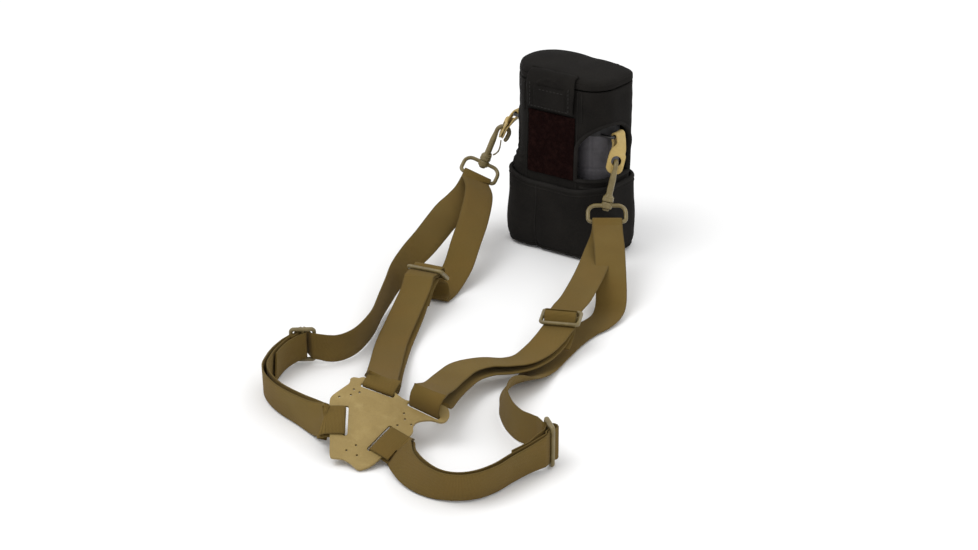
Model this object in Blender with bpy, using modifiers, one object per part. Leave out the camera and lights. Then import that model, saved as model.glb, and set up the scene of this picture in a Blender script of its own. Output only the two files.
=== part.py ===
"""Binocular harness pack: a neoprene binocular cover with its binocular, clipped to an elastic back harness.

All lengths below are in millimetres. The origin is the centre of the cover's base on the ground, +X runs from
lug to lug, -Y is the cover's front with its closure tab, and +Z is up.
"""

import math

import bmesh
import bpy
import numpy as np
from mathutils import Matrix, Vector

# Driving dimensions.
CUP_X, CUP_Y, CUP_CORNER = 53.0, 35.2, 24.0
SLEEVE_X, SLEEVE_Y, SLEEVE_CORNER = 49.0, 31.4, 22.5
WALL = 3.4
FLOOR = 4.0
CUP_TOP = 66.5
SLEEVE_FOOT = 52.0
SLEEVE_TOP = 152.0
LID_TOP = 160.5
GAP = 0.3
WINDOW_LOW, WINDOW_SPRING, WINDOW_HALF = 71.0, 98.0, 25.8
WINDOW_RIGHT_ALONG, WINDOW_RIGHT_TURN = 11.5, 30.0
WINDOW_LEFT_ALONG, WINDOW_LEFT_TURN = 2.0, 0.0
TAB_WIDE, TAB_LOW = 46.0, 130.0

BARREL_X, BARREL_R = 25.0, 20.0
LUG_X, LUG_Y, LUG_Z = 51.0, -6.0, 110.0
EYECUP_TOP = 142.0

WEB_WIDE, WEB_THICK = 25.4, 1.4
BAR_R = 1.6
BAR_PITCH = 9.0
HUMP = 1.8
SLIDER_WIDE = 33.0
RING_R, RING_WIDE, RING_TALL = 1.75, 32.0, 15.5
BOSS_R, COLLAR_R = 4.5, 4.9
HOOK_R, SHANK_R = 2.0, 2.8
HOOK_TOP, HOOK_BOW = 32.5, 5.5
GATE_ROOT = (5.0, 0.0, 9.9)
LID_AXIS = (0.0, 31.5, 152.1)

HARNESS_TURN = math.radians(36.0)
PLATE_SLOPE = math.atan(0.5)
PLATE_THICK = 2.0
PLATE_FOOT_Y = -437.3
PLATE_LIFT = 0.9


def vec(x, y, z=0.0):
    return Vector((x, y, z))


def world(p):
    """A point or direction of the harness, which lies turned from the cover, in the cover's frame."""
    return Matrix.Rotation(HARNESS_TURN, 3, "Z") @ Vector(p)


# ---------------------------------------------------------------- scene, materials and helpers


def clear_scene():
    for obj in list(bpy.data.objects):
        bpy.data.objects.remove(obj, do_unlink=True)
    for name in ("binocular_harness_pack", "cutters"):
        bpy.context.scene.collection.children.link(bpy.data.collections.new(name))


def material(name, colour, roughness, metallic=0.0):
    made = bpy.data.materials.new(name)
    made.use_nodes = True
    shader = made.node_tree.nodes["Principled BSDF"]
    shader.inputs["Base Color"].default_value = (*colour, 1.0)
    shader.inputs["Roughness"].default_value = roughness
    shader.inputs["Metallic"].default_value = metallic
    return made


def add(name, data, finish=None, group="binocular_harness_pack"):
    """An object whose mesh or curve is in millimetres, scaled to metres in its data."""
    data.transform(Matrix.Scale(0.001, 4))
    obj = bpy.data.objects.new(name, data)
    bpy.data.collections[group].objects.link(obj)
    if finish:
        data.materials.append(finish)
    return obj


def cutter(name, data):
    obj = add(name, data, group="cutters")
    obj.hide_render = True
    obj.display_type = "WIRE"
    return obj


def combine(obj, other, operation="DIFFERENCE"):
    step = obj.modifiers.new(operation.lower(), "BOOLEAN")
    step.operation = operation
    step.object = other
    step.solver = "EXACT"
    return obj


def box(low, high):
    shape = bmesh.new()
    bmesh.ops.create_cube(shape, size=1.0)
    low, high = Vector(low), Vector(high)
    bmesh.ops.scale(shape, vec=high - low, verts=shape.verts)
    bmesh.ops.translate(shape, vec=(low + high) / 2, verts=shape.verts)
    return to_mesh(shape)


def to_mesh(shape):
    bmesh.ops.recalc_face_normals(shape, faces=shape.faces)
    mesh = bpy.data.meshes.new("mesh")
    shape.to_mesh(mesh)
    shape.free()
    return mesh


def pivot(obj, point, parent=None):
    """Puts an object's origin at a point in the world, and parents it, with its mesh staying where it is."""
    point = Vector(point) * 0.001
    obj.data.transform(Matrix.Translation(-point))
    obj.location = point
    if parent:
        obj.parent = parent
        obj.location = point - parent.location
    return obj


def aim(direction):
    return Vector(direction).to_track_quat("Z", "Y").to_matrix().to_4x4()


def rod(low, high, radius, sides=20, top_radius=None):
    """A cylinder or cone between two points."""
    low, high = Vector(low), Vector(high)
    shape = bmesh.new()
    bmesh.ops.create_cone(
        shape, cap_ends=True, segments=sides, radius1=radius,
        radius2=radius if top_radius is None else top_radius, depth=(high - low).length,
    )
    place = Matrix.Translation((low + high) / 2) @ aim(high - low)
    bmesh.ops.transform(shape, matrix=place, verts=shape.verts)
    return to_mesh(shape)


def turned(name, profile, centre, finish, sides=32):
    """A turned piece: the profile's (radius, height) points run from the top down the outer side."""
    mesh = bpy.data.meshes.new(name)
    points = [(r, 0.0, z) for r, z in profile]
    mesh.from_pydata(points, [(i, i + 1) for i in range(len(points) - 1)], [])
    obj = add(name, mesh, finish)
    screw = obj.modifiers.new("turn", "SCREW")
    screw.steps = screw.render_steps = sides
    screw.use_merge_vertices = True
    screw.merge_threshold = 0.00001
    obj.location = Vector(centre) * 0.001
    return obj


def curve_data(points, cyclic=False, dimensions="3D"):
    data = bpy.data.curves.new("curve", "CURVE")
    data.dimensions = dimensions
    spline = data.splines.new("POLY")
    spline.points.add(len(points) - 1)
    for point, p in zip(spline.points, points):
        point.co = (*Vector(p).to_3d(), 1.0)
    spline.use_cyclic_u = cyclic
    return data


def mesh_of(data, matrix=None):
    """The closed mesh of a curve, with its caps welded on."""
    obj = bpy.data.objects.new("guide", data)
    bpy.context.scene.collection.objects.link(obj)
    graph = bpy.context.evaluated_depsgraph_get()
    mesh = bpy.data.meshes.new_from_object(obj.evaluated_get(graph))
    bpy.data.objects.remove(obj, do_unlink=True)
    shape = bmesh.new()
    shape.from_mesh(mesh)
    bmesh.ops.remove_doubles(shape, verts=shape.verts, dist=0.0001)
    if matrix is not None:
        bmesh.ops.transform(shape, matrix=matrix, verts=shape.verts)
    return to_mesh(shape)


def wire(points, radius, cyclic=False, matrix=None, fineness=2):
    data = curve_data(points, cyclic)
    data.bevel_depth = radius
    data.bevel_resolution = fineness
    data.use_fill_caps = not cyclic
    mesh = mesh_of(data, matrix)
    mesh.shade_smooth()
    return mesh


def slab(outline, thickness, matrix=None):
    """A flat outline given its thickness, centred on its plane."""
    data = curve_data([vec(*p) for p in outline], True, "2D")
    data.fill_mode = "BOTH"
    data.extrude = thickness / 2
    return mesh_of(data, matrix)


def rounded(half_x, half_y, corner, steps=6):
    """A rounded rectangle, anticlockwise."""
    points = []
    for sx, sy, start in ((1, -1, -90), (1, 1, 0), (-1, 1, 90), (-1, -1, 180)):
        for i in range(steps + 1):
            a = math.radians(start + 90 * i / steps)
            x = sx * (half_x - corner) + corner * math.cos(a)
            y = sy * (half_y - corner) + corner * math.sin(a)
            points.append((x, y))
    return points


def upright(outline, low, high):
    return slab(outline, high - low, Matrix.Translation((0, 0, (low + high) / 2)))


# ---------------------------------------------------------------- webbing


def through(stations, step=7.0):
    """Points and width directions along one smooth curve through hand-set stations (point, width)."""
    stations = [(Vector(p), Vector(w)) for p, w in stations]
    for i in range(1, len(stations)):
        if stations[i][1].dot(stations[i - 1][1]) < 0:
            stations[i] = (stations[i][0], -stations[i][1])
    found = []
    for i in range(len(stations) - 1):
        around = [stations[max(0, min(len(stations) - 1, i + k))] for k in (-1, 0, 1, 2)]
        p = [s[0] for s in around]
        w = [s[1] for s in around]
        count = max(1, round((p[2] - p[1]).length / step))
        for k in range(count):
            t = k / count
            found.append((spline(p, t), spline(w, t)))
    found.append(stations[-1])
    return found


def spline(p, t):
    return 0.5 * (
        2 * p[1] + (p[2] - p[0]) * t + (2 * p[0] - 5 * p[1] + 4 * p[2] - p[3]) * t * t
        + (3 * p[1] - p[0] - 3 * p[2] + p[3]) * t ** 3
    )


def eased(points, edges):
    """Spreads a sideways turn along an edge wherever that edge would run back on itself."""
    for _ in range(EASE_ROUNDS):
        for side in (0, 1):
            for i in range(1, len(points) - 2):
                run = points[i + 1] - points[i]
                step = edges[i + 1][side] - edges[i][side]
                if step.dot(run) < EASE_LEAST * run.dot(run):
                    edges[i][side] = (edges[i - 1][side] + edges[i][side] * 2 + edges[i + 1][side]) / 4
                    edges[i + 1][side] = (edges[i][side] + edges[i + 1][side] * 2 + edges[i + 2][side]) / 4


def ribbon(name, path, finish):
    """Webbing along a path of (point, width direction), as a sheet between its two edges with Solidify."""
    points = [Vector(p) for p, _ in path]
    edges = []
    last = None
    for i, (p, w) in enumerate(path):
        tangent = (points[min(i + 1, len(points) - 1)] - points[max(i - 1, 0)]).normalized()
        w = Vector(w)
        w = (w - w.dot(tangent) * tangent).normalized()
        if last is not None and w.dot(last) < 0:
            w = -w
        last = w
        edges.append([Vector(p) - w * WEB_WIDE / 2, Vector(p) + w * WEB_WIDE / 2])
    if name in EASED:
        eased(points, edges)
    flat = [world(q) for pair in edges for q in pair]
    faces = [(2 * i, 2 * i + 1, 2 * i + 3, 2 * i + 2) for i in range(len(edges) - 1)]
    mesh = bpy.data.meshes.new(name)
    mesh.from_pydata(flat, [], faces)
    obj = add(name, mesh, finish)
    solid = obj.modifiers.new("thickness", "SOLIDIFY")
    solid.thickness = WEB_THICK * 0.001
    solid.offset = 0.0
    solid.use_even_offset = True
    return obj


class Slider:
    """A three-bar strap slider: its centre bar, the strap's direction towards the ring, and its hump side."""

    def __init__(self, name, centre, along, out):
        self.name = name
        self.centre = Vector(centre)
        self.along = Vector(along).normalized()
        out = Vector(out)
        self.out = (out - out.dot(self.along) * self.along).normalized()
        self.bar = self.out.cross(self.along)

    def at(self, l, n):
        return (self.centre + self.along * l + self.out * n, self.bar)

    def arc(self, centre, radius, start, end, step=24.0):
        count = max(1, math.ceil(abs(end - start) / step))
        angles = [math.radians(start + (end - start) * i / count) for i in range(count + 1)]
        return [self.at(centre[0] + radius * math.cos(a), centre[1] + radius * math.sin(a)) for a in angles]

    def running(self):
        """The running webbing from the plate side: under the first bar, over the middle, then under the third."""
        low = BAR_R + 0.5 + WEB_THICK / 2
        high = BAR_R + 0.7 + WEB_THICK * 1.5
        rise = math.degrees(math.atan2(HUMP, BAR_PITCH))
        lean = math.degrees(math.asin((low + high) / math.hypot(HUMP, BAR_PITCH))) + rise
        near = self.arc((-BAR_PITCH, 0), low, -100, lean - 90)
        over = self.arc((0, HUMP), high, lean + 90, 90 - lean)
        far = self.arc((BAR_PITCH, 0), low, -90 - lean, -80)
        return near, over, far

    def plate_half(self):
        """The running webbing on the plate side, up to just short of the middle of its hump."""
        near, over, _ = self.running()
        return near + over[:len(over) // 2]

    def ring_half(self):
        """The running webbing on the ring side, from just past the middle of its hump."""
        _, over, far = self.running()
        return over[len(over) // 2:] + far

    def sewn(self):
        """The webbing's sewn end from the plate side: round the middle bar and back on its underside."""
        inner = BAR_R + GAP + WEB_THICK / 2
        outer = BAR_R + 1.0 + WEB_THICK * 1.5
        lean = math.degrees(math.asin((inner + outer) / BAR_PITCH))
        near = self.arc((-BAR_PITCH, 0), outer, -100, lean - 90)
        wrap = self.arc((0, 0), inner, lean + 90, -75)
        start = self.at(-3.6, -4.8)
        first, *rest = TAILS[self.name]
        width = TAIL_WIDTHS.get(self.name, self.bar)
        return near + wrap + through([start, (first, self.bar), *((p, width) for p in rest)], 5.0)


def wrap(bar, width, pull, radius):
    """Webbing folded over a bar: front side first, pulled away along pull."""
    bar, width, pull = Vector(bar), Vector(width).normalized(), Vector(pull)
    pull = (pull - pull.dot(width) * width).normalized()
    front = pull.cross(width)
    found = [(bar + front * (radius + 0.2) + pull * 5, width)]
    for i in range(7):
        a = math.radians(30 * i)
        found.append((bar + front * radius * math.cos(a) - pull * radius * math.sin(a), width))
    found.append((bar - front * (radius + 0.2) + pull * 5, width))
    return found


# ---------------------------------------------------------------- where the harness pieces lie


def on_plate(a, v, n=0.0):
    """A point of the sloping back plate, v up its slope from its foot and n above its middle."""
    c, s = math.cos(PLATE_SLOPE), math.sin(PLATE_SLOPE)
    return vec(a, PLATE_FOOT_Y + v * c - n * s, PLATE_LIFT + v * s + n * c)


# Slot centres on the plate (across, up the slope), the direction out to the edge, and how far the edge is.
SLOTS = {
    "left_shoulder": ((-152.7, 71.7), (0.413, 0.911), 10.0),
    "left_under": ((-175.2, 44.1), (-1.0, 0.0), 13.5),
    "right_under": ((-149.9, 28.2), (0.798, -0.603), 17.0),
    "right_shoulder": ((-118.8, 53.0), (0.51, 0.86), 13.5),
}


def fold(slot, over=()):
    """Webbing from above the plate's edge strip, down through the slot and out below it.

    over holds (outward, above) points for webbing that stands up off the plate instead of lying on it.
    """
    (a, v), (oa, ov), edge = SLOTS[slot]
    width = on_plate(-ov, oa) - on_plate(0, 0)
    steps = over or ((edge + 2, 2.1), (edge, 2.2), (3.0, 2.2), (1.4, 1.95), (0.6, 1.1), (0.45, 0))
    steps += ((0.6, -1.1), (1.4, -1.95), (3.0, -2.2), (edge, -2.2), (edge + 2, -2.1))
    return [(on_plate(a + oa * o, v + ov * o, n), width) for o, n in steps]


SLIDERS = {
    "left_shoulder": Slider("left_shoulder", (-121.3, -134.7, 26.3), (0.30, 0.70, -0.63), (0.27, 0.57, 0.76)),
    "left_under": Slider("left_under", (-216.0, -256.0, 16.9), (0.99, 0.06, 0.0), (-0.06, 0.96, 0.25)),
    "right_shoulder": Slider("right_shoulder", (-14.7, -226.3, 26.4), (0.20, 0.97, 0.15), (-0.03, -0.15, 0.99)),
    "right_under": Slider("right_under", (-28.3, -423.3, 16.9), (-0.25, 0.97, 0.0), (0.97, 0.25, 0.0)),
}

# Each side's ring: middle of its swivel bar, its bar direction, and the way the webbing pulls.
RINGS = {
    "left": ((-76.1, 33.6, 59.5), (0.905, -0.166, -0.392), (-0.37, -0.72, -0.585)),
    "right": ((28.0, -60.1, 56.0), (1.0, 0.0, 0.0), (0.0, -0.76, -0.65)),
}

# Each side's hook: the way it points from the ring, and the way its nose turns.
HOOKS = {
    "left": ((0.36, 0.02, 0.93), (0.93, 0.0, -0.36)),
    "right": ((0.22, 0.30, 0.93), (-0.07, 0.95, -0.29)),
}


def ring_frame(side):
    """The ring's origin, bar direction, pull and face, all square to each other."""
    top, bar, pull = (Vector(v) for v in RINGS[side])
    bar.normalize()
    pull = (pull - pull.dot(bar) * bar).normalized()
    return top, bar, pull, pull.cross(bar)


def ring_foot(side):
    top, _, pull, _ = ring_frame(side)
    return top + pull * RING_TALL


# Webbing stations: across, back and up in the harness's own turned frame, then the width direction.
LEFT_SHOULDER_UPPER = [
    ((-151, -350, 31.5), (0.92, -0.36, -0.17)),
    ((-152, -325, 21), (0.95, -0.25, -0.05)),
    ((-151, -288, 13), (0.98, -0.15, 0.0)),
    ((-148, -238, 9.5), (0.96, -0.25, 0.0)),
    ((-142, -204, 12), (0.93, -0.35, 0.0)),
    ((-136, -180, 17.5), (0.92, -0.40, 0.0)),
    ((-131, -164, 24), (0.91, -0.42, 0.0)),
    ((-128.3, -150.7, 30), (0.905, -0.425, 0.0)),
]
LEFT_SHOULDER_LOWER = [
    ((-150, -352, 25.5), (0.92, -0.36, -0.17)),
    ((-150, -325, 15.5), (0.95, -0.25, -0.05)),
    ((-149, -288, 9), (0.98, -0.15, 0.0)),
    ((-145, -238, 5.5), (0.96, -0.25, 0.0)),
    ((-139, -203, 7.5), (0.93, -0.35, 0.0)),
    ((-134, -180, 12.5), (0.92, -0.40, 0.0)),
    ((-130.5, -165, 19.5), (0.91, -0.42, 0.0)),
    ((-129.1, -152.5, 26), (0.905, -0.425, 0.0)),
]
LEFT_RISER = [
    ((-116.0, -126.5, 12.5), (0.905, -0.425, 0.0)),
    ((-115.5, -127.8, 8.0), (0.905, -0.425, 0.0)),
    ((-116.1, -130.7, 4.8), (0.905, -0.425, 0.0)),
    ((-116.7, -133.2, 4.3), (0.905, -0.425, 0.0)),
    ((-116.8, -134.5, 3.1), (0.905, -0.425, 0.0)),
    ((-115.8, -132.7, 1.8), (0.905, -0.425, 0.0)),
    ((-112, -125, 2.0), (0.91, -0.40, 0.0)),
    ((-107, -114, 4.0), (0.92, -0.38, -0.02)),
    ((-97.5, -95, 14.5), (0.93, -0.33, -0.10)),
    ((-91, -73, 27), (0.93, -0.30, -0.20)),
    ((-84, -42, 38), (0.92, -0.22, -0.30)),
    ((-80, -6, 46.5), (0.905, -0.17, -0.38)),
]
LEFT_CHEST = [
    ((-90, 2, 42.5), (0.88, -0.17, -0.44)),
    ((-98, -15, 39.5), (0.84, -0.15, -0.52)),
    ((-108, -34, 36.5), (0.78, -0.10, -0.62)),
    ((-125, -74, 29), (0.62, 0.0, -0.78)),
    ((-137, -96, 23.5), (0.48, 0.10, -0.87)),
    ((-148, -121, 18), (0.30, 0.15, -0.94)),
    ((-154, -145, 14.5), (0.15, 0.20, -0.97)),
    ((-159, -171, 13), (0.05, 0.20, -0.98)),
    ((-163.5, -202, 12.9), (0.0, 0.20, -0.98)),
    ((-168.5, -222, 13.05), (0.0, 0.22, -0.97)),
    ((-175.5, -240, 13.05), (0.0, 0.22, -0.97)),
    ((-184, -251, 12.9), (0.0, 0.22, -0.97)),
    ((-192, -256.5, 13.6), (0.0, 0.23, -0.97)),
    ((-199, -258.6, 15.2), (0.0, 0.24, -0.97)),
]
LEFT_UNDER_OUTER = [
    ((-231, -266, 14.9), (0.0, 0.25, -0.97)),
    ((-237, -278, 13.9), (0.0, 0.25, -0.97)),
    ((-241, -292, 13.2), (0.0, 0.27, -0.96)),
    ((-242.5, -308, 13.05), (0.0, 0.28, -0.96)),
    ((-238.5, -326, 13.05), (0.0, 0.25, -0.96)),
    ((-228.5, -345, 13.05), (0.0, 0.20, -0.97)),
    ((-213, -364, 13.05), (0.0, 0.10, -0.98)),
    ((-201, -378, 13.6), (0.0, -0.20, -0.97)),
    ((-192.5, -390, 17.5), (0.0, -0.62, -0.78)),
]
LEFT_UNDER_INNER = [
    ((-230, -268.5, 14.2), (0.0, 0.25, -0.97)),
    ((-234.5, -279.5, 13.5), (0.0, 0.25, -0.97)),
    ((-237.7, -292, 13.2), (0.0, 0.27, -0.96)),
    ((-239, -306.5, 13.05), (0.0, 0.28, -0.96)),
    ((-235, -323, 13.05), (0.0, 0.25, -0.96)),
    ((-225.5, -341.5, 13.05), (0.0, 0.20, -0.97)),
    ((-210, -360, 13.05), (0.0, 0.10, -0.98)),
    ((-198, -373, 13.05), (0.0, -0.15, -0.98)),
    ((-190.5, -386, 14.6), (0.0, -0.60, -0.80)),
]
RIGHT_SHOULDER_UPPER = [
    ((-113, -372, 34), (0.86, -0.50, -0.12)),
    ((-107.5, -349, 26), (0.85, -0.52, 0.0)),
    ((-100.5, -325, 21.5), (0.80, -0.60, 0.02)),
    ((-90, -302, 19), (0.62, -0.78, 0.05)),
    ((-74, -288, 16.5), (0.25, -0.95, 0.14)),
    ((-58, -283, 14.2), (0.15, -0.96, 0.18)),
    ((-44, -276, 13.8), (0.45, -0.87, 0.10)),
    ((-32, -262, 15.8), (0.75, -0.65, 0.0)),
    ((-23, -248, 19.2), (0.93, -0.36, 0.0)),
]
RIGHT_SHOULDER_LOWER = [
    ((-109.5, -370, 22), (0.86, -0.50, -0.08)),
    ((-104.5, -349, 18), (0.85, -0.52, 0.0)),
    ((-97.5, -326, 14.8), (0.79, -0.61, 0.02)),
    ((-87, -304, 12.8), (0.60, -0.80, 0.05)),
    ((-72, -290.5, 11), (0.24, -0.95, 0.10)),
    ((-57, -285.5, 9.6), (0.15, -0.96, 0.12)),
    ((-43.5, -278, 9.8), (0.45, -0.87, 0.08)),
    ((-31.5, -263.5, 11.6), (0.75, -0.65, 0.0)),
    ((-22.6, -249, 15.2), (0.93, -0.36, 0.0)),
]
RIGHT_CHEST = [
    ((-8, -203, 25.4), (0.985, -0.17, 0.0)),
    ((-1, -186, 26.4), (0.99, -0.14, 0.0)),
    ((11, -144, 29), (1.0, -0.10, 0.0)),
    ((20.5, -104, 32.5), (1.0, -0.04, 0.0)),
    ((26, -85, 37), (1.0, 0.0, 0.0)),
]
RIGHT_RISER = [
    ((28, -91, 42.5), (1.0, 0.0, 0.0)),
    ((28.5, -108, 38), (1.0, 0.0, 0.0)),
    ((28.5, -126, 32), (1.0, 0.0, 0.0)),
    ((28.5, -141, 24.5), (1.0, 0.0, 0.0)),
    ((28.5, -152, 15), (0.99, -0.05, 0.02)),
    ((27.5, -161, 6.8), (0.97, -0.15, 0.05)),
    ((23.5, -172, 2.8), (0.88, -0.42, 0.06)),
    ((15.5, -184, 1.6), (0.74, -0.66, 0.02)),
    ((4, -197, 1.5), (0.76, -0.65, 0.0)),
    ((-8, -217, 1.5), (0.86, -0.50, 0.0)),
    ((-20, -243, 1.6), (0.89, -0.45, 0.02)),
    ((-32, -272, 2.4), (0.88, -0.46, 0.08)),
    ((-43, -296, 5.6), (0.78, -0.50, 0.32)),
    ((-53, -314, 10), (0.52, -0.48, 0.68)),
    ((-58.5, -331, 12.6), (0.26, -0.40, 0.88)),
    ((-60.5, -350, 13.05), (0.20, -0.36, 0.90)),
    ((-57, -371, 13.05), (0.22, -0.32, 0.92)),
    ((-50, -388, 13.2), (0.22, -0.22, 0.94)),
    ((-41.5, -400, 14.8), (0.12, -0.10, 0.98)),
    ((-36.2, -407.5, 16.2), (0.03, -0.03, 1.0)),
]
RIGHT_UNDER_OUTER = [
    ((-31.5, -439, 16.7), (0.0, -0.08, 0.99)),
    ((-42, -447.5, 15.2), (0.03, -0.22, 0.97)),
    ((-54, -459, 13.9), (0.03, -0.26, 0.96)),
    ((-66, -472.5, 13.05), (0.03, -0.28, 0.96)),
    ((-79, -482.5, 13.05), (0.0, -0.30, 0.95)),
    ((-93, -486, 13.05), (0.0, -0.30, 0.95)),
    ((-107, -482, 13.05), (0.04, -0.24, 0.96)),
    ((-119.5, -471, 13.05), (0.12, -0.05, 0.98)),
    ((-129, -455, 13.2), (0.30, 0.20, 0.92)),
    ((-134.4, -436, 13.2), (0.50, 0.54, 0.68)),
]
RIGHT_UNDER_INNER = [
    ((-33.8, -437.5, 16.7), (0.0, -0.08, 0.99)),
    ((-43.6, -444.5, 15.2), (0.03, -0.22, 0.97)),
    ((-56.5, -456, 13.8), (0.03, -0.26, 0.96)),
    ((-68, -469, 13.05), (0.03, -0.28, 0.96)),
    ((-80, -478.5, 13.05), (0.0, -0.30, 0.95)),
    ((-93, -482, 13.05), (0.0, -0.30, 0.95)),
    ((-105.5, -478.5, 13.05), (0.04, -0.24, 0.96)),
    ((-117, -468, 13.05), (0.12, -0.05, 0.98)),
    ((-127, -452, 12.6), (0.32, 0.22, 0.92)),
    ((-132.3, -433, 10.6), (0.52, 0.60, 0.60)),
]

# Where each sewn end's tail lies, from under the slider's middle bar to its cut end.
TAILS = {
    "left_shoulder": [(-126.0, -149.0, 23.6), (-128.6, -158, 20.2), (-130.3, -165, 16.6), (-131.8, -172, 13.2)],
    "left_under": [(-225.0, -266.5, 14.6), (-229.4, -274, 13.7), (-232.4, -283, 13.3), (-234.3, -291, 13.2)],
    "right_shoulder": [(-16.0, -233.5, 19.4), (-17.0, -238.0, 17.0), (-18.4, -243, 14.6), (-20.5, -249.5, 11.6)],
    "right_under": [(-36.0, -434.2, 16.8), (-42.8, -440.2, 15.6), (-49.0, -445.8, 14.6), (-56.0, -452, 13.9)],
}

LOW_RISE = 0.8
EASED = ("strap_right_under",)
EASE_ROUNDS, EASE_LEAST = 12, 0.15
TAIL_WIDTHS = {"right_under": (0.03, -0.22, 0.97)}

# The back plate's outline on its own slope: across, and up from its foot.
PLATE_OUTLINE = [
    (-164.6, 0.9), (-158.5, 2.4), (-152.5, 6.8), (-144.5, 16.0), (-136.0, 24.7), (-130.4, 28.3),
    (-126.4, 34.0), (-126.0, 39.5), (-122.5, 43.4), (-113.5, 44.6), (-106.0, 42.5), (-101.6, 45.0),
    (-100.0, 51.0), (-103.0, 57.0), (-114.0, 61.5), (-126.0, 65.0), (-129.5, 62.2), (-134.0, 64.2),
    (-139.5, 69.5), (-142.0, 74.5), (-152.0, 79.5), (-163.0, 84.0), (-166.5, 83.2), (-170.8, 84.0),
    (-173.2, 82.0), (-173.6, 78.4), (-180.5, 72.0), (-186.3, 66.0), (-187.4, 60.0), (-187.0, 44.0),
    (-185.8, 27.0), (-185.2, 13.0), (-182.0, 10.9), (-175.8, 10.0), (-170.3, 6.2),
]
PLATE_HOLES = [
    (-172.1, 67.7), (-170.1, 72.8), (-165.9, 70.0), (-180.5, 66.0),
    (-166.8, 22.1), (-173.5, 17.6), (-165.8, 13.2),
    (-133.0, 50.8), (-132.2, 45.4), (-127.6, 40.6), (-137.5, 40.0),
]


def left_straps(webbing):
    ring = wrap(ring_foot("left"), RINGS["left"][1], RINGS["left"][2], RING_R + GAP + WEB_THICK / 2)
    shoulder, under = SLIDERS["left_shoulder"], SLIDERS["left_under"]
    high = fold("left_shoulder")
    up = through([*LEFT_SHOULDER_LOWER[::-1], high[-1]])[:-1]
    top = through([high[0], *LEFT_SHOULDER_UPPER])[1:]
    ribbon("strap_left_shoulder", shoulder.sewn()[::-1] + up + high[::-1] + top + shoulder.plate_half(), webbing)
    chest = shoulder.ring_half() + LEFT_RISER[:7] + through([LEFT_RISER[6], *LEFT_RISER[7:], ring[0]])[1:-1]
    down = through([ring[-1], *LEFT_CHEST])[1:]
    ribbon("strap_left_chest", chest + ring + down + under.ring_half()[::-1], webbing)
    low = fold("left_under")
    out = through([*LEFT_UNDER_OUTER, low[0]])[:-1]
    back = through([low[-1], *LEFT_UNDER_INNER[::-1]])[1:]
    ribbon("strap_left_under", under.plate_half()[::-1] + out + low + back + under.sewn(), webbing)


def right_straps(webbing):
    ring = wrap(ring_foot("right"), RINGS["right"][1], RINGS["right"][2], RING_R + GAP + WEB_THICK / 2)
    shoulder, under = SLIDERS["right_shoulder"], SLIDERS["right_under"]
    high = fold("right_shoulder", ((9.5, 14.2), (6.0, 13.6), (3.2, 11.6), (1.6, 8.4), (0.9, 4.6), (0.6, 1.6), (0.45, 0)))
    up = through([*RIGHT_SHOULDER_LOWER[::-1], high[-1]])[:-1]
    top = through([high[0], *RIGHT_SHOULDER_UPPER])[1:]
    ribbon("strap_right_shoulder", shoulder.sewn()[::-1] + up + high[::-1] + top + shoulder.plate_half(), webbing)
    chest = through([*RIGHT_CHEST, ring[-1]])[:-1]
    down = through([ring[0], *RIGHT_RISER])[1:]
    ribbon("strap_right_chest", shoulder.ring_half() + chest + ring[::-1] + down + under.ring_half()[::-1], webbing)
    low = fold("right_under")
    low[:2] = [(p + vec(0, 0, LOW_RISE / k), w) for k, (p, w) in enumerate(low[:2], 1)]
    out = through([*RIGHT_UNDER_OUTER, low[0]])[:-1]
    back = through([low[-1], *RIGHT_UNDER_INNER[::-1]])[1:]
    ribbon("strap_right_under", under.plate_half()[::-1] + out + low + back + under.sewn(), webbing)


# ---------------------------------------------------------------- harness hardware


def frame_matrix(origin, x, y, z):
    """The placing matrix of a harness piece whose own axes are x, y and z in the harness frame."""
    turned_axes = [world(v) for v in (x, y, z)]
    made = Matrix.Identity(4)
    for i, axis in enumerate(turned_axes):
        for j in range(3):
            made[j][i] = axis[j]
    made.translation = world(origin)
    return made


def slider(place, plastic):
    half = (SLIDER_WIDE - 2 * BAR_R) / 2
    loop = [vec(x, y) for x, y in rounded(half, BAR_PITCH, 2.0, 3)]
    matrix = frame_matrix(place.centre, place.bar, place.along, -place.out)
    obj = add("slider_" + place.name, wire(loop, BAR_R, True, matrix), plastic)
    middle = wire([vec(-half, 0), vec(half, 0)], BAR_R * 0.98, False, matrix)
    pivot(obj, world(place.centre))
    return combine(obj, cutter("middle_bar_" + place.name, middle), "UNION")


def ring_outline():
    """The ring's centre line: wide round shoulders by the hook, tighter corners beside the webbing."""
    half = RING_WIDE / 2
    points = []
    for sx, sy, start, corner in ((1, 0, -90, 7.0), (1, 1, 0, 3.2), (-1, 1, 90, 3.2), (-1, 0, 180, 7.0)):
        for i in range(5):
            a = math.radians(start + 22.5 * i)
            x = sx * (half - corner) + corner * math.cos(a)
            y = (RING_TALL - corner if sy else corner) + corner * math.sin(a)
            points.append(vec(x, y))
    return points


def ring(side, plastic):
    top, bar, pull, _ = ring_frame(side)
    loop = ring_outline()
    matrix = frame_matrix(top, bar, pull, bar.cross(pull))
    obj = add("ring_" + side, wire(loop, RING_R, True, matrix, 3), plastic)
    lift = hook_axes(side)[2]
    boss = rod(world(top - lift * 2.6), world(top + lift * 2.9), BOSS_R, 20)
    return combine(obj, cutter("ring_boss_" + side, boss), "UNION")


def hook_axes(side):
    lift, nose = (Vector(v) for v in HOOKS[side])
    lift.normalize()
    nose = (nose - nose.dot(lift) * lift).normalized()
    return nose, lift.cross(nose), lift


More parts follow.
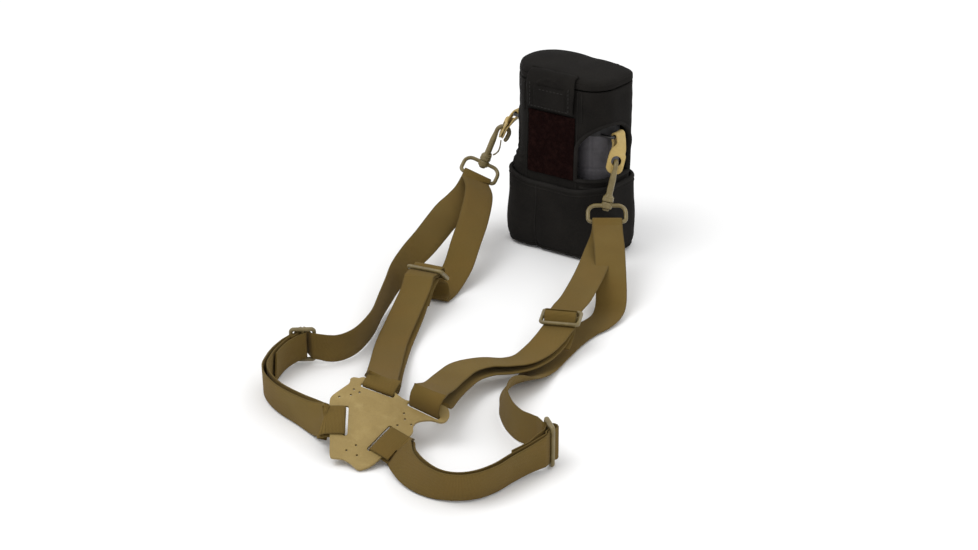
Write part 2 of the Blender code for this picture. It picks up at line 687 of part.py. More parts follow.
def hook(side, plastic):
    """The hook's shank, bow and nose, its swivel collar, the leaf gate and the rivet under the ring's bar."""
    nose, face, lift = hook_axes(side)
    top = Vector(RINGS[side][0])
    matrix = frame_matrix(top, nose, face, lift)
    path = [vec(0, 0, 6.4), vec(0, 0, HOOK_TOP)]
    for i in range(1, 9):
        a = math.radians(180 - 22.5 * i)
        path.append(vec(HOOK_BOW + HOOK_BOW * math.cos(a), 0, HOOK_TOP + HOOK_BOW * math.sin(a)))
    path += [vec(2 * HOOK_BOW - 0.2, 0, HOOK_TOP - 4), vec(2 * HOOK_BOW - 1.2, 0, HOOK_TOP - 7.5)]
    obj = add("hook_" + side, wire(path, HOOK_R, False, matrix, 3), plastic)
    collar = rod(matrix @ vec(0, 0, 3.3), matrix @ vec(0, 0, 8.0), COLLAR_R, 20)
    combine(obj, cutter("hook_collar_" + side, collar), "UNION")
    shank = rod(matrix @ vec(0, 0, 7.6), matrix @ vec(0, 0, 27.0), SHANK_R, 16)
    combine(obj, cutter("hook_shank_" + side, shank), "UNION")
    heel = rod(matrix @ vec(1.2, 0, 8.2), matrix @ vec(4.4, 0, 8.9), 1.9, 12)
    combine(obj, cutter("hook_heel_" + side, heel), "UNION")
    leaf = [(5.0, 9.9), (7.4, 12.6), (8.2, 16.5), (7.6, 21.0), (6.6, 25.2)]
    outline = [(x - 0.6, z) for x, z in leaf] + [(x + 0.6, z) for x, z in leaf[::-1]]
    upright_plane = matrix @ Matrix.Rotation(math.radians(90), 4, "X")
    pivot(obj, matrix.translation)
    gate = add("gate_" + side, slab(outline, 3.2, upright_plane), plastic)
    pivot(gate, matrix @ vec(*GATE_ROOT), obj)
    rivet = rod(matrix @ vec(0, 0, -4.6), matrix @ vec(0, 0, -2.9), 2.9, 16)
    pivot(add("rivet_" + side, rivet, plastic), matrix.translation, obj)
    return obj


def tab(side, leather):
    """The leather tab: a strip round the lug's bar, both ends hanging to the hook's hole and twisting to face it."""
    sign = 1 if side == "right" else -1
    nose, _, lift = (world(v) for v in hook_axes(side))
    top = world(RINGS[side][0])
    hole = top + lift * (HOOK_TOP + HOOK_BOW) + nose * HOOK_BOW
    lug = vec(sign * LUG_X, LUG_Y, LUG_Z)
    along_bar = vec(0, 1, 0)
    down = hole - lug
    down = (down - down.dot(along_bar) * along_bar).normalized()
    knee = lug + down * 9
    last = hole - knee
    last = (last - last.dot(nose) * nose).normalized()
    across = last.cross(nose).normalized()
    if across.dot(along_bar) < 0:
        across = -across
    centre = [(lug + down * 3.5, down, 0.0, 2.6, 6.0), (lug + down * 6.5, down, 0.04, 2.4, 6.0)]
    centre.append((knee.lerp(hole, 0.16), (hole - knee).normalized(), 0.3, 2.2, 6.1))
    centre.append((knee.lerp(hole, 0.40), (hole - knee).normalized(), 0.65, 1.7, 6.4))
    centre.append((hole - last * 5, last, 1.0, 1.15, 7.2))
    centre.append((hole + last * 5, last, 1.0, 1.1, 7.2))
    centre.append((hole + last * 8.5, last, 1.0, 1.1, 6.4))
    centre.append((hole + last * 10.8, last, 1.0, 1.1, 3.6))
    front, back = [], []
    for p, heading, twist, off, half in centre:
        width = along_bar.lerp(across, twist)
        width = (width - width.dot(heading) * heading).normalized()
        out = width.cross(heading)
        front.append((p + out * off, width * half))
        back.append((p - out * off, width * half))
    out = along_bar.cross(down)
    bend = []
    for i in range(7):
        a = math.radians(30 * i)
        bend.append((lug + out * 2.7 * math.cos(a) - down * 2.7 * math.sin(a), along_bar * 6.0))
    path = front[::-1] + bend + back
    flat = [q for p, half in path for q in (p - half, p + half)]
    faces = [(2 * i, 2 * i + 1, 2 * i + 3, 2 * i + 2) for i in range(len(path) - 1)]
    mesh = bpy.data.meshes.new("tab")
    mesh.from_pydata(flat, [], faces)
    obj = add("tab_" + side, mesh, leather)
    solid = obj.modifiers.new("thickness", "SOLIDIFY")
    solid.thickness = 0.0015
    solid.offset = 0.0
    solid.use_even_offset = True
    punch = rod(hole - nose * 6, hole + nose * 6, 4.5, 16)
    return combine(obj, cutter("tab_punch_" + side, punch))


def back_plate(leather):
    matrix = frame_matrix(on_plate(0, 0), (1, 0, 0), on_plate(0, 1) - on_plate(0, 0), on_plate(0, 0, 1) - on_plate(0, 0))
    obj = add("back_plate", slab(PLATE_OUTLINE, PLATE_THICK, matrix), leather)
    for name, ((a, v), (oa, ov), _) in SLOTS.items():
        turn = Matrix.Translation((a, v, 0)) @ Matrix.Rotation(math.atan2(ov, oa), 4, "Z")
        slot = slab(rounded(1.9, 13.6, 1.8, 3), PLATE_THICK * 3, matrix @ turn)
        combine(obj, cutter("slot_" + name, slot))
    for i, (a, v) in enumerate(PLATE_HOLES):
        hole = rod(matrix @ vec(a, v, -4), matrix @ vec(a, v, 4), 0.9, 8)
        combine(obj, cutter(f"plate_hole_{i}", hole))
    return obj


# ---------------------------------------------------------------- the cover


def cover(neoprene, fleece):
    base = add("cover_base", upright(rounded(CUP_X - 1.5, CUP_Y - 1.5, CUP_CORNER - 1.5), 0, FLOOR), neoprene)
    cup = add("cover_cup", upright(rounded(CUP_X, CUP_Y, CUP_CORNER), FLOOR + GAP, CUP_TOP), neoprene)
    hollow = upright(rounded(CUP_X - WALL, CUP_Y - WALL, CUP_CORNER - WALL), 0, CUP_TOP + 20)
    combine(cup, cutter("cup_hollow", hollow))
    sleeve = add(
        "cover_sleeve", upright(rounded(SLEEVE_X, SLEEVE_Y, SLEEVE_CORNER), SLEEVE_FOOT, SLEEVE_TOP), neoprene
    )
    inner = upright(rounded(SLEEVE_X - WALL, SLEEVE_Y - WALL, SLEEVE_CORNER - WALL), SLEEVE_FOOT - 5, SLEEVE_TOP + 10)
    combine(sleeve, cutter("sleeve_hollow", inner))
    arch = [(-WINDOW_HALF, WINDOW_LOW), (WINDOW_HALF, WINDOW_LOW)]
    for i in range(13):
        a = math.radians(15 * i)
        arch.append((WINDOW_HALF * math.cos(a), WINDOW_SPRING + (WINDOW_HALF - 2) * math.sin(a)))
    for side, sign, turn, along in (
        ("left", -1, WINDOW_LEFT_TURN, WINDOW_LEFT_ALONG), ("right", 1, WINDOW_RIGHT_TURN, WINDOW_RIGHT_ALONG),
    ):
        facing = Matrix.Rotation(math.radians(90 - turn), 4, "Z") @ Matrix.Rotation(math.radians(90), 4, "X")
        place = Matrix.Diagonal((sign, 1, 1, 1)) @ facing @ Matrix.Translation((along, 0, 52))
        combine(sleeve, cutter("window_" + side, slab(arch, 60, place)))
    lid = add("cover_lid", upright(rounded(SLEEVE_X, SLEEVE_Y, SLEEVE_CORNER), SLEEVE_TOP + GAP, LID_TOP), neoprene)
    soften = lid.modifiers.new("soften", "BEVEL")
    soften.width = 0.004
    soften.segments = 2
    soften.limit_method = "ANGLE"
    pivot(lid, LID_AXIS)
    half = TAB_WIDE / 2
    front = -SLEEVE_Y
    flap = [
        (front - GAP, SLEEVE_TOP + 8.5), (front - 2.6, SLEEVE_TOP + 7), (front - 4.2, SLEEVE_TOP + 2),
        (front - 4.2, TAB_LOW), (front - 1.9, TAB_LOW), (front - 1.9, SLEEVE_TOP + 1), (front - GAP, SLEEVE_TOP + 2),
    ]
    sideways = Matrix.Rotation(math.radians(90), 4, "Z") @ Matrix.Rotation(math.radians(90), 4, "X")
    pivot(add("closure_tab", slab(flap, TAB_WIDE, sideways), neoprene), LID_AXIS, lid)
    patch = box((-half + 3, -SLEEVE_Y - 1.6, TAB_LOW + 2), (half - 3, -SLEEVE_Y - 0.5, TAB_LOW + 16))
    pivot(add("closure_hook_patch", patch, fleece), LID_AXIS, lid)
    panel = box((-half - 1, -SLEEVE_Y - 1.5, CUP_TOP + 4), (half + 1, -SLEEVE_Y - GAP, TAB_LOW - 3))
    add("closure_loop_panel", panel, fleece)
    return lid


# ---------------------------------------------------------------- the binocular


def binocular(rubber, trim, glass, metal):
    for side, sign in (("left", -1), ("right", 1)):
        x = sign * BARREL_X
        profile = [
            (0.0, 128.0), (16.5, 128.0), (17.0, 126.0), (17.0, 122.0), (19.6, 117.0), (BARREL_R, 112.0),
            (BARREL_R, 80.0), (19.6, 72.0), (20.0, 50.0), (21.6, 34.0), (22.2, 14.0), (22.2, 6.0), (21.0, 4.6),
            (19.6, 4.6), (19.6, 9.0), (0.0, 9.0),
        ]
        turned("barrel_" + side, profile, (x, 0, 0), rubber, 28)
        turned("objective_lens_" + side, [(0.0, 8.7), (19.3, 8.7), (19.3, 7.4), (0.0, 6.2)], (x, 0, 0), glass, 24)
        eyecup = [
            (14.0, EYECUP_TOP - 1.0), (15.0, EYECUP_TOP), (18.0, EYECUP_TOP), (18.8, EYECUP_TOP - 1.2),
            (18.8, 130.0), (18.2, 128.4), (14.0, 128.4), (14.0, EYECUP_TOP - 1.0),
        ]
        turned("eyecup_" + side, eyecup, (x, 0, 0), trim, 28)
        turned("eyepiece_lens_" + side, [(0.0, 133.0), (12.6, 131.6), (13.4, 128.3), (0.0, 128.3)], (x, 0, 0), glass, 24)
        add("lug_bar_" + side, lug(sign), metal)
    bridge(rubber, trim)


def lug(sign):
    """The strap lug: a bar along Y carried by two posts that stop just short of the barrel."""
    half, turn = 8.6, 1.8
    points = []
    start = BARREL_X + math.sqrt(BARREL_R ** 2 - (abs(LUG_Y) + half) ** 2) + 1.9
    near = BARREL_X + math.sqrt(BARREL_R ** 2 - (half - abs(LUG_Y)) ** 2) + 1.9
    points.append(vec(start, LUG_Y - half))
    for i in range(4):
        a = math.radians(-90 + 30 * i)
        points.append(vec(LUG_X - turn + turn * math.cos(a), LUG_Y - half + turn + turn * math.sin(a)))
    for i in range(4):
        a = math.radians(30 * i)
        points.append(vec(LUG_X - turn + turn * math.cos(a), LUG_Y + half - turn + turn * math.sin(a)))
    points.append(vec(near, LUG_Y + half))
    points = [vec(sign * p.x, p.y, LUG_Z) for p in points]
    return wire(points, 1.4, False, None, 2)


def bridge(rubber, trim):
    """The centre hinge between the barrels and the focus wheel above it."""
    axis_y = -6.0
    tube = add("hinge_tube", rod(vec(0, axis_y, 58), vec(0, axis_y, 119), 4.6, 20), rubber)
    for i, (low, high) in enumerate(((62, 74), (98, 112))):
        arm = box((-4.4, axis_y - 7, low), (4.4, axis_y + 7, high))
        combine(tube, cutter(f"hinge_arm_{i}", arm), "UNION")
    add("hinge_cap", rod(vec(0, axis_y, 55.4), vec(0, axis_y, 57.7), 4.0, 20), trim)
    wheel = [
        (0.0, 134.0), (8.7, 134.0), (9.5, 133.0), (9.5, 122.5), (8.7, 121.5), (0.0, 121.5),
    ]
    turned("focus_wheel", wheel, (0, -14.5, 0), trim, 28)
    add("focus_axle", rod(vec(0, -14.5, 113), vec(0, -14.5, 121.2), 3.6, 16), trim)


def build():
    clear_scene()
    neoprene = material("black_neoprene", (0.012, 0.011, 0.010), 0.85)
    fleece = material("loop_fleece", (0.010, 0.004, 0.004), 0.95)
    webbing = material("coyote_webbing", (0.19, 0.12, 0.045), 0.8)
    leather = material("coyote_leather", (0.36, 0.25, 0.07), 0.55)
    plastic = material("olive_plastic", (0.16, 0.11, 0.035), 0.4)
    rubber = material("grey_armour", (0.06, 0.06, 0.065), 0.6)
    trim = material("black_trim", (0.015, 0.015, 0.016), 0.5)
    glass = material("coated_glass", (0.03, 0.02, 0.05), 0.05)
    metal = material("dark_metal", (0.1, 0.1, 0.1), 0.35, 1.0)
    cover(neoprene, fleece)
    binocular(rubber, trim, glass, metal)
    left_straps(webbing)
    right_straps(webbing)
    for place in SLIDERS.values():
        slider(place, plastic)
    for side in ("left", "right"):
        ring(side, plastic)
        hook(side, plastic)
        tab(side, leather)
    back_plate(leather)


build()
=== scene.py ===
"""Looks of the binocular harness pack: a neoprene cover, its binocular, and an elastic back harness."""

import math

import bmesh
import bpy
from mathutils import Matrix, Vector, noise

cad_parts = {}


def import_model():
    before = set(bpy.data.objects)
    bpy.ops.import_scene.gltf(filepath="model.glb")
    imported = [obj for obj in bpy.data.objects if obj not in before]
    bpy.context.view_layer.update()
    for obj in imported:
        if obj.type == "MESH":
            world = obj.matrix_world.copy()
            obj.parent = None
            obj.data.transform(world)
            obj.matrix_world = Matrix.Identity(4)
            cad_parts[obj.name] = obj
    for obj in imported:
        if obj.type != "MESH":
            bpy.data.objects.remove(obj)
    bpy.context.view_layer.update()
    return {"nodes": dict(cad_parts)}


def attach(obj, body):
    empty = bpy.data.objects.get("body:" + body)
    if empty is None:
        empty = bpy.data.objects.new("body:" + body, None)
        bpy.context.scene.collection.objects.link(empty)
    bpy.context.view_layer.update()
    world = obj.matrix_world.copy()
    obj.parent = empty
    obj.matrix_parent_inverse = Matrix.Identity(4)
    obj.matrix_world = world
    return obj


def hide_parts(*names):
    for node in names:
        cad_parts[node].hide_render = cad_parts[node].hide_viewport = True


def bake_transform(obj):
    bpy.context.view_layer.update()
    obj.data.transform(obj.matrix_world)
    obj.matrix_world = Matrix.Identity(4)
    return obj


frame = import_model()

# Dimensions shared with the CAD, in millimetres.
CUP = CUP_X, CUP_Y, CUP_CORNER = 53.0, 35.2, 24.0
SLEEVE = SLEEVE_X, SLEEVE_Y, SLEEVE_CORNER = 49.0, 31.4, 22.5
WALL, FLOOR = 3.4, 4.0
CUP_TOP, SLEEVE_FOOT, SLEEVE_TOP, LID_TOP = 66.5, 52.0, 152.0, 160.5
WINDOW_LOW, WINDOW_SPRING, WINDOW_HALF = 71.0, 98.0, 25.8
WINDOW_TURN = {-1: 0.0, 1: 30.0}
WINDOW_ALONG = {-1: 2.0, 1: 11.5}
TAB_WIDE = 46.0
BARREL_X, BARREL_R = 25.0, 20.0
WHEEL_AT, HINGE_Y = (0, -14.5), -6
LUG_X, LUG_Y, LUG_Z = 51.0, -6.0, 110.0
WEB_WIDE, WEB_THICK = 25.4, 1.4
WEB_SHOWN = 1.25
GAP = 0.3
BAR_R, BAR_PITCH, HUMP = 1.6, 9.0, 1.8
SLIDER_WIDE = 33.0
RING_R, RING_WIDE, RING_TALL = 1.75, 32.0, 15.5
BOSS_R, COLLAR_R, SHANK_R = 4.5, 4.9, 2.8
HOOK_R, HOOK_TOP, HOOK_BOW = 2.0, 32.5, 5.5
HARNESS_TURN = math.radians(36.0)
PLATE_SLOPE = math.atan(0.5)
PLATE_THICK, PLATE_FOOT_Y, PLATE_LIFT = 2.0, -437.3, 0.9

# Sizes of the looks alone, in millimetres. The cover's upper part leans to the right, and the sleeve's front
# left corner is pushed in.
LEAN = 0.8
CUP_SPREAD_Y = 35.0
TUCK, TUCK_X, TUCK_Y = 4.8, -46.0, -27.0
SEAM_X = -13.0
STITCH_LENGTH, STITCH_R, STITCH_GAP = 2.2, 0.26, 1.1
GATE_FINE = 0.0002

# The lid's cloth run: its mesh and the furthest a point moves, in metres, its pressure and its frames.
PUFF_VOXEL, PUFF_REACH, PUFF_PRESSURE, PUFF_FRAMES = 0.0032, 0.004, 4.0, 20

# The studio, in metres: the camera stands where the photo's did.
CAMERA_AT, CAMERA_LENS = (1.1126, -1.6528, 0.8119), 90.37
CAMERA_TURN, CAMERA_RISE = math.radians(36.0), math.radians(23.0)
FLOOR_HALF, FLOOR_Z = 8.0, -0.0006
LIGHTS_AIM = (0.05, -0.2, 0.03)
LIGHTS = (
    ("key", (-0.5, -1.3, 2.3), 1.6, 26.0),
    ("fill", (1.9, -0.7, 1.3), 1.6, 7.0),
    ("rim", (0.2, 1.8, 1.8), 1.4, 9.0),
)
UP, RIGHT = Vector((0.0, 0.0, 1.0)), Vector((1.0, 0.0, 0.0))


def vec(x, y, z=0.0):
    return Vector((x, y, z))


def world(p):
    """A point or direction of the harness's own frame, turned to where the harness lies."""
    return Matrix.Rotation(HARNESS_TURN, 3, "Z") @ Vector(p)


def ease(low, high, value):
    """From 0 at low to 1 at high, with a soft start and end."""
    t = max(0.0, min(1.0, (value - low) / (high - low)))
    return t * t * (3 - 2 * t)


# ---------------------------------------------------------------- camera, floor and light


def camera_and_light():
    data = bpy.data.cameras.new("camera")
    data.sensor_width = 36.0
    data.lens = CAMERA_LENS
    data.clip_end = 20.0
    camera = bpy.data.objects.new("camera", data)
    level = math.cos(CAMERA_RISE)
    back = vec(math.sin(CAMERA_TURN) * level, -math.cos(CAMERA_TURN) * level, math.sin(CAMERA_RISE))
    camera.location = CAMERA_AT
    camera.rotation_euler = back.to_track_quat("Z", "Y").to_euler()
    bpy.context.scene.collection.objects.link(camera)
    bpy.context.scene.camera = camera
    floor_mesh = bpy.data.meshes.new("floor")
    corners = ((-1, -1), (1, -1), (1, 1), (-1, 1))
    verts = [(x * FLOOR_HALF, y * FLOOR_HALF, FLOOR_Z) for x, y in corners]
    floor_mesh.from_pydata(verts, [], [(0, 1, 2, 3)])
    floor = bpy.data.objects.new("floor", floor_mesh)
    bpy.context.scene.collection.objects.link(floor)
    paint = bpy.data.materials.new("floor_paint")
    paint.use_nodes = True
    shader = paint.node_tree.nodes["Principled BSDF"]
    shader.inputs["Base Color"].default_value = (0.93, 0.93, 0.93, 1)
    shader.inputs["Roughness"].default_value = 0.9
    shader.inputs["Specular IOR Level"].default_value = 0.1
    floor_mesh.materials.append(paint)
    sky = bpy.data.worlds.new("studio")
    sky.use_nodes = True
    sky.node_tree.nodes["Background"].inputs["Color"].default_value = (1.0, 1.0, 1.0, 1)
    sky.node_tree.nodes["Background"].inputs["Strength"].default_value = 0.80
    bpy.context.scene.world = sky
    bpy.context.scene.view_settings.view_transform = "Standard"
    for name, place, size, power in LIGHTS:
        light = bpy.data.lights.new(name, "AREA")
        light.size = size
        light.energy = power
        lamp = bpy.data.objects.new(name, light)
        lamp.location = place
        lamp.rotation_euler = (Vector(place) - Vector(LIGHTS_AIM)).to_track_quat("Z", "Y").to_euler()
        bpy.context.scene.collection.objects.link(lamp)


# ---------------------------------------------------------------- materials


class Finish:
    """A procedural material: a few node calls over the Principled shader."""

    def __init__(self, name, roughness, **settings):
        self.made = bpy.data.materials.new(name)
        self.made.use_nodes = True
        self.tree = self.made.node_tree
        self.shader = self.tree.nodes["Principled BSDF"]
        self.shader.inputs["Roughness"].default_value = roughness
        for key, value in settings.items():
            self.shader.inputs[key.replace("_", " ")].default_value = value
        self.place = self.tree.nodes.new("ShaderNodeTexCoord")

    def put(self, socket, value):
        """Links a node's output to the socket, or sets the socket to a number or a colour."""
        if isinstance(value, bpy.types.NodeSocket):
            self.tree.links.new(value, socket)
        else:
            socket.default_value = (*value, 1.0) if isinstance(value, tuple) else value

    def math(self, operation, *inputs):
        made = self.tree.nodes.new("ShaderNodeMath")
        made.operation = operation
        for socket, value in zip(made.inputs, inputs):
            self.put(socket, value)
        return made.outputs[0]

    def noise(self, scale, detail, rough):
        made = self.tree.nodes.new("ShaderNodeTexNoise")
        for key, value in (("Scale", scale), ("Detail", detail), ("Roughness", rough)):
            made.inputs[key].default_value = value
        self.tree.links.new(self.place.outputs["Object"], made.inputs["Vector"])
        return made.outputs[0]

    def cells(self, scale, feature="F1"):
        made = self.tree.nodes.new("ShaderNodeTexVoronoi")
        made.feature = feature
        made.inputs["Scale"].default_value = scale
        self.tree.links.new(self.place.outputs["Object"], made.inputs["Vector"])
        return made.outputs[0]

    def ramp(self, value, *stops):
        made = self.tree.nodes.new("ShaderNodeValToRGB")
        ramp = made.color_ramp
        while len(ramp.elements) < len(stops):
            ramp.elements.new(0.5)
        for element, (at, grey) in zip(ramp.elements, stops):
            element.position = at
            element.color = (grey, grey, grey, 1.0)
        self.tree.links.new(value, made.inputs[0])
        return made.outputs[0]

    def mix(self, factor, a, b):
        """Colour a, turning into b as the factor goes from 0 to 1."""
        made = self.tree.nodes.new("ShaderNodeMix")
        made.data_type = "RGBA"
        for socket, value in ((made.inputs[0], factor), (made.inputs[6], a), (made.inputs[7], b)):
            self.put(socket, value)
        return made.outputs[2]

    def bump(self, height, strength, distance, below=None):
        made = self.tree.nodes.new("ShaderNodeBump")
        made.inputs["Strength"].default_value = strength
        made.inputs["Distance"].default_value = distance
        self.tree.links.new(height, made.inputs["Height"])
        if below:
            self.tree.links.new(below, made.inputs["Normal"])
        return made.outputs[0]

    def done(self, colour=None, roughness=None, normal=None):
        for key, value in (("Base Color", colour), ("Roughness", roughness), ("Normal", normal)):
            if value:
                self.tree.links.new(value, self.shader.inputs[key])
        return self.made


def webbing_finish():
    """Woven elastic: staggered weft floats over fine warp ribs, with plain selvedges; the floats' dips are
    painted darker as shade and their crowns lighter as light.
    """
    f = Finish("coyote_webbing", 0.88, Sheen_Weight=0.03, Sheen_Roughness=0.5, Specular_IOR_Level=0.10)
    split = f.tree.nodes.new("ShaderNodeSeparateXYZ")
    f.tree.links.new(f.place.outputs["UV"], split.inputs[0])
    across, along = split.outputs[0], split.outputs[1]
    row = f.math("MULTIPLY", along, 26.0)
    shift = f.math("MULTIPLY", f.math("FLOORED_MODULO", f.math("FLOOR", row), 2.0), 0.5)
    column = f.math("ADD", f.math("MULTIPLY", across, 22.0), shift)
    float_u = f.math("SINE", f.math("MULTIPLY", f.math("FRACT", column), math.pi))
    float_v = f.math("SINE", f.math("MULTIPLY", f.math("FRACT", row), math.pi))
    height = f.math("MULTIPLY", f.math("POWER", float_u, 0.6), f.math("POWER", float_v, 0.6))
    edge = f.math("ABSOLUTE", f.math("SUBTRACT", across, 0.5))
    selvedge = f.math("GREATER_THAN", edge, 0.465)
    fuzz = f.noise(1800.0, 3.0, 0.6)
    broad = f.noise(28.0, 2.0, 0.6)
    worn = f.noise(9.0, 3.0, 0.6)
    # Painted shade and light: the thread colour runs from dark in the weave's dips to light on the floats'
    # crowns.
    thread = f.mix(height, (0.068, 0.044, 0.009), (0.180, 0.116, 0.029))
    thread = f.mix(f.ramp(broad, (0.35, 0.0), (0.65, 0.55)), thread, (0.152, 0.092, 0.023))
    thread = f.mix(f.ramp(worn, (0.5, 0.0), (0.7, 0.35)), thread, (0.200, 0.140, 0.042))
    thread = f.mix(f.math("MULTIPLY", selvedge, 0.45), thread, (0.095, 0.066, 0.020))
    thread = f.mix(f.ramp(fuzz, (0.55, 0.0), (0.8, 0.4)), thread, (0.225, 0.158, 0.060))
    normal = f.bump(fuzz, 0.25, 0.0002, f.bump(height, 0.75, 0.0003))
    return f.done(thread, f.ramp(broad, (0.3, 0.78), (0.7, 0.92)), normal)


def neoprene_finish(name, dark, light, knit):
    """Knit-faced rubber: fine loops, a little lint and shallow creases."""
    f = Finish(name, 0.9, Specular_IOR_Level=0.08)
    loops = f.cells(knit)
    broad = f.noise(35.0, 3.0, 0.55)
    lint = f.noise(2600.0, 1.0, 0.5)
    creases = f.noise(150.0, 3.0, 0.6)
    colour = f.mix(f.ramp(broad, (0.35, 0.0), (0.7, 1.0)), dark, light)
    colour = f.mix(f.ramp(loops, (0.1, 0.35), (0.7, 0.0)), colour, (0.017, 0.015, 0.013))
    colour = f.mix(f.ramp(lint, (0.74, 0.0), (0.80, 0.35)), colour, (0.040, 0.036, 0.032))
    normal = f.bump(creases, 0.25, 0.0008, f.bump(loops, 0.45, 0.0003))
    return f.done(colour, f.ramp(broad, (0.3, 0.82), (0.7, 0.95)), normal)


def fleece_finish(name, dark, light):
    """Brushed loops and loose tufts: painted shade low in the pile, painted light on the raised pile and
    tufts.
    """
    f = Finish(name, 0.95, Specular_IOR_Level=0.03)
    pile = f.noise(1500.0, 4.0, 0.7)
    tufts = f.noise(220.0, 3.0, 0.65)
    # Painted shade and light: darker low in the pile, lighter on its raised tops and on the raised tufts.
    colour = f.mix(f.ramp(pile, (0.35, 0.0), (0.7, 1.0)), dark, light)
    colour = f.mix(f.ramp(tufts, (0.45, 0.0), (0.75, 0.6)), colour, (0.020, 0.0075, 0.006))
    normal = f.bump(pile, 0.9, 0.0009, f.bump(tufts, 0.6, 0.0015))
    return f.done(colour, None, normal)


def leather_finish(name, dark, light, edge):
    """Smooth leather: cell grain and pores over broad shading, rubbed lighter in patches."""
    f = Finish(name, 0.55, Specular_IOR_Level=0.35, Sheen_Weight=0.05)
    grain = f.cells(1150.0, "DISTANCE_TO_EDGE")
    pores = f.noise(2400.0, 2.0, 0.5)
    broad = f.noise(26.0, 4.0, 0.6)
    rub = f.noise(70.0, 3.0, 0.65)
    colour = f.mix(f.ramp(broad, (0.32, 0.0), (0.68, 1.0)), dark, light)
    colour = f.mix(f.ramp(rub, (0.52, 0.0), (0.75, 0.45)), colour, edge)
    for spots, at_low, at_high, shade in (
        (grain, (0.0, 0.30), (0.12, 0.0), (0.55, 0.5, 0.45)),
        (pores, (0.30, 0.35), (0.42, 0.0), (0.6, 0.55, 0.5)),
    ):
        colour = f.mix(f.ramp(spots, at_low, at_high), colour, tuple(d * k for d, k in zip(dark, shade)))
    normal = f.bump(f.ramp(grain, (0.0, 0.0), (0.15, 1.0)), 0.30, 0.00018, f.bump(rub, 0.15, 0.0009))
    return f.done(colour, f.ramp(rub, (0.3, 0.46), (0.7, 0.66)), normal)


def plastic_finish(name, dark, light, roughness=(0.30, 0.46), metallic=0.0, stipple=2600.0):
    """Hard moulded or painted surface with a fine stipple and scuffed high spots."""
    f = Finish(name, 0.4, Metallic=metallic, Specular_IOR_Level=0.5)
    fine = f.noise(stipple, 2.0, 0.5)
    broad = f.noise(120.0, 4.0, 0.6)
    scuffs = f.noise(520.0, 4.0, 0.75)
    colour = f.mix(f.ramp(broad, (0.3, 0.0), (0.7, 1.0)), dark, light)
    worn = tuple(min(1.0, c * 1.5 + 0.01) for c in light)
    colour = f.mix(f.ramp(scuffs, (0.58, 0.0), (0.72, 0.5)), colour, worn)
    normal = f.bump(fine, 0.12, 0.0002, f.bump(broad, 0.12, 0.0005))
    return f.done(colour, f.ramp(scuffs, (0.35, roughness[0]), (0.7, roughness[1])), normal)


def armour_finish(name, dark, light):
    """Stippled rubber with a little dust."""
    f = Finish(name, 0.6, Specular_IOR_Level=0.35)
    stipple = f.cells(1500.0)
    broad = f.noise(60.0, 3.0, 0.6)
    dust = f.noise(900.0, 3.0, 0.7)
    colour = f.mix(f.ramp(broad, (0.3, 0.0), (0.7, 1.0)), dark, light)
    colour = f.mix(f.ramp(dust, (0.6, 0.0), (0.78, 0.35)), colour, tuple(c * 1.7 for c in light))
    normal = f.bump(stipple, 0.45, 0.00025)
    return f.done(colour, f.ramp(broad, (0.3, 0.50), (0.7, 0.68)), normal)


def glass_finish():
    """Coated lens glass with a little smear."""
    f = Finish("coated_glass", 0.05, Specular_IOR_Level=0.9, Coat_Weight=1.0, Coat_Roughness=0.02)
    film = f.noise(30.0, 2.0, 0.5)
    colour = f.mix(film, (0.010, 0.006, 0.020), (0.006, 0.016, 0.014))
    return f.done(colour, f.ramp(f.noise(300.0, 3.0, 0.7), (0.4, 0.03), (0.8, 0.16)))


def thread_finish(name, dark, light):
    """Twisted sewing thread."""
    f = Finish(name, 0.7, Specular_IOR_Level=0.3)
    twist = f.noise(3000.0, 2.0, 0.5)
    return f.done(f.mix(twist, dark, light), None, f.bump(twist, 0.4, 0.0002))


# ---------------------------------------------------------------- mesh helpers


def shaped(mesh, angle=None):
    """Smooth shading, with edges sharper than angle degrees kept sharp."""
    mesh.shade_smooth()
    if angle:
        mesh.set_sharp_from_angle(angle=math.radians(angle))
    return mesh


def object_of(name, mesh, *finishes):
    """A linked object whose mesh is given in millimetres."""
    mesh.transform(Matrix.Scale(0.001, 4))
    obj = bpy.data.objects.new(name, mesh)
    bpy.context.scene.collection.objects.link(obj)
    for finish in finishes:
        mesh.materials.append(finish)
    return obj


def keep(obj, body, slot, *replaced):
    """The piece rides on a body, and replaces these CAD nodes."""
    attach(obj, body)
    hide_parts(*replaced)


def mesh_from(verts, faces):
    mesh = bpy.data.meshes.new("mesh")
    mesh.from_pydata([tuple(v) for v in verts], [], faces)
    return mesh


def mesh_of(shape):
    """A mesh of the bmesh, which is freed."""
    mesh = bpy.data.meshes.new("mesh")
    shape.to_mesh(mesh)
    shape.free()
    return mesh


def outward(mesh, matrix=None):
    """The mesh, placed by the matrix, with every face turned outwards."""
    if matrix is not None:
        mesh.transform(matrix)
    shape = bmesh.new()
    shape.from_mesh(mesh)
    bmesh.ops.recalc_face_normals(shape, faces=shape.faces)
    return mesh_of(shape)


def skin(rows, around, cyclic=False):
    """Faces between rows of equally many points, each row closed on itself."""
    found = []
    for i in range(rows if cyclic else rows - 1):
        j = (i + 1) % rows
        for k in range(around):
            m = (k + 1) % around
            found.append((i * around + k, i * around + m, j * around + m, j * around + k))
    return found


def caps(rows, around):
    """The faces that close the first and last rows."""
    return [tuple(range(around))[::-1], tuple(range((rows - 1) * around, rows * around))]


def rod(low, high, radius, sides=32, top_radius=None):
    """A round bar or cone between two points."""
    low, high = Vector(low), Vector(high)
    shape = bmesh.new()
    bmesh.ops.create_cone(
        shape, cap_ends=True, segments=sides, radius1=radius,
        radius2=radius if top_radius is None else top_radius, depth=(high - low).length,
    )
    turn = (high - low).to_track_quat("Z", "Y").to_matrix().to_4x4()
    return outward(mesh_of(shape), Matrix.Translation((low + high) / 2) @ turn)


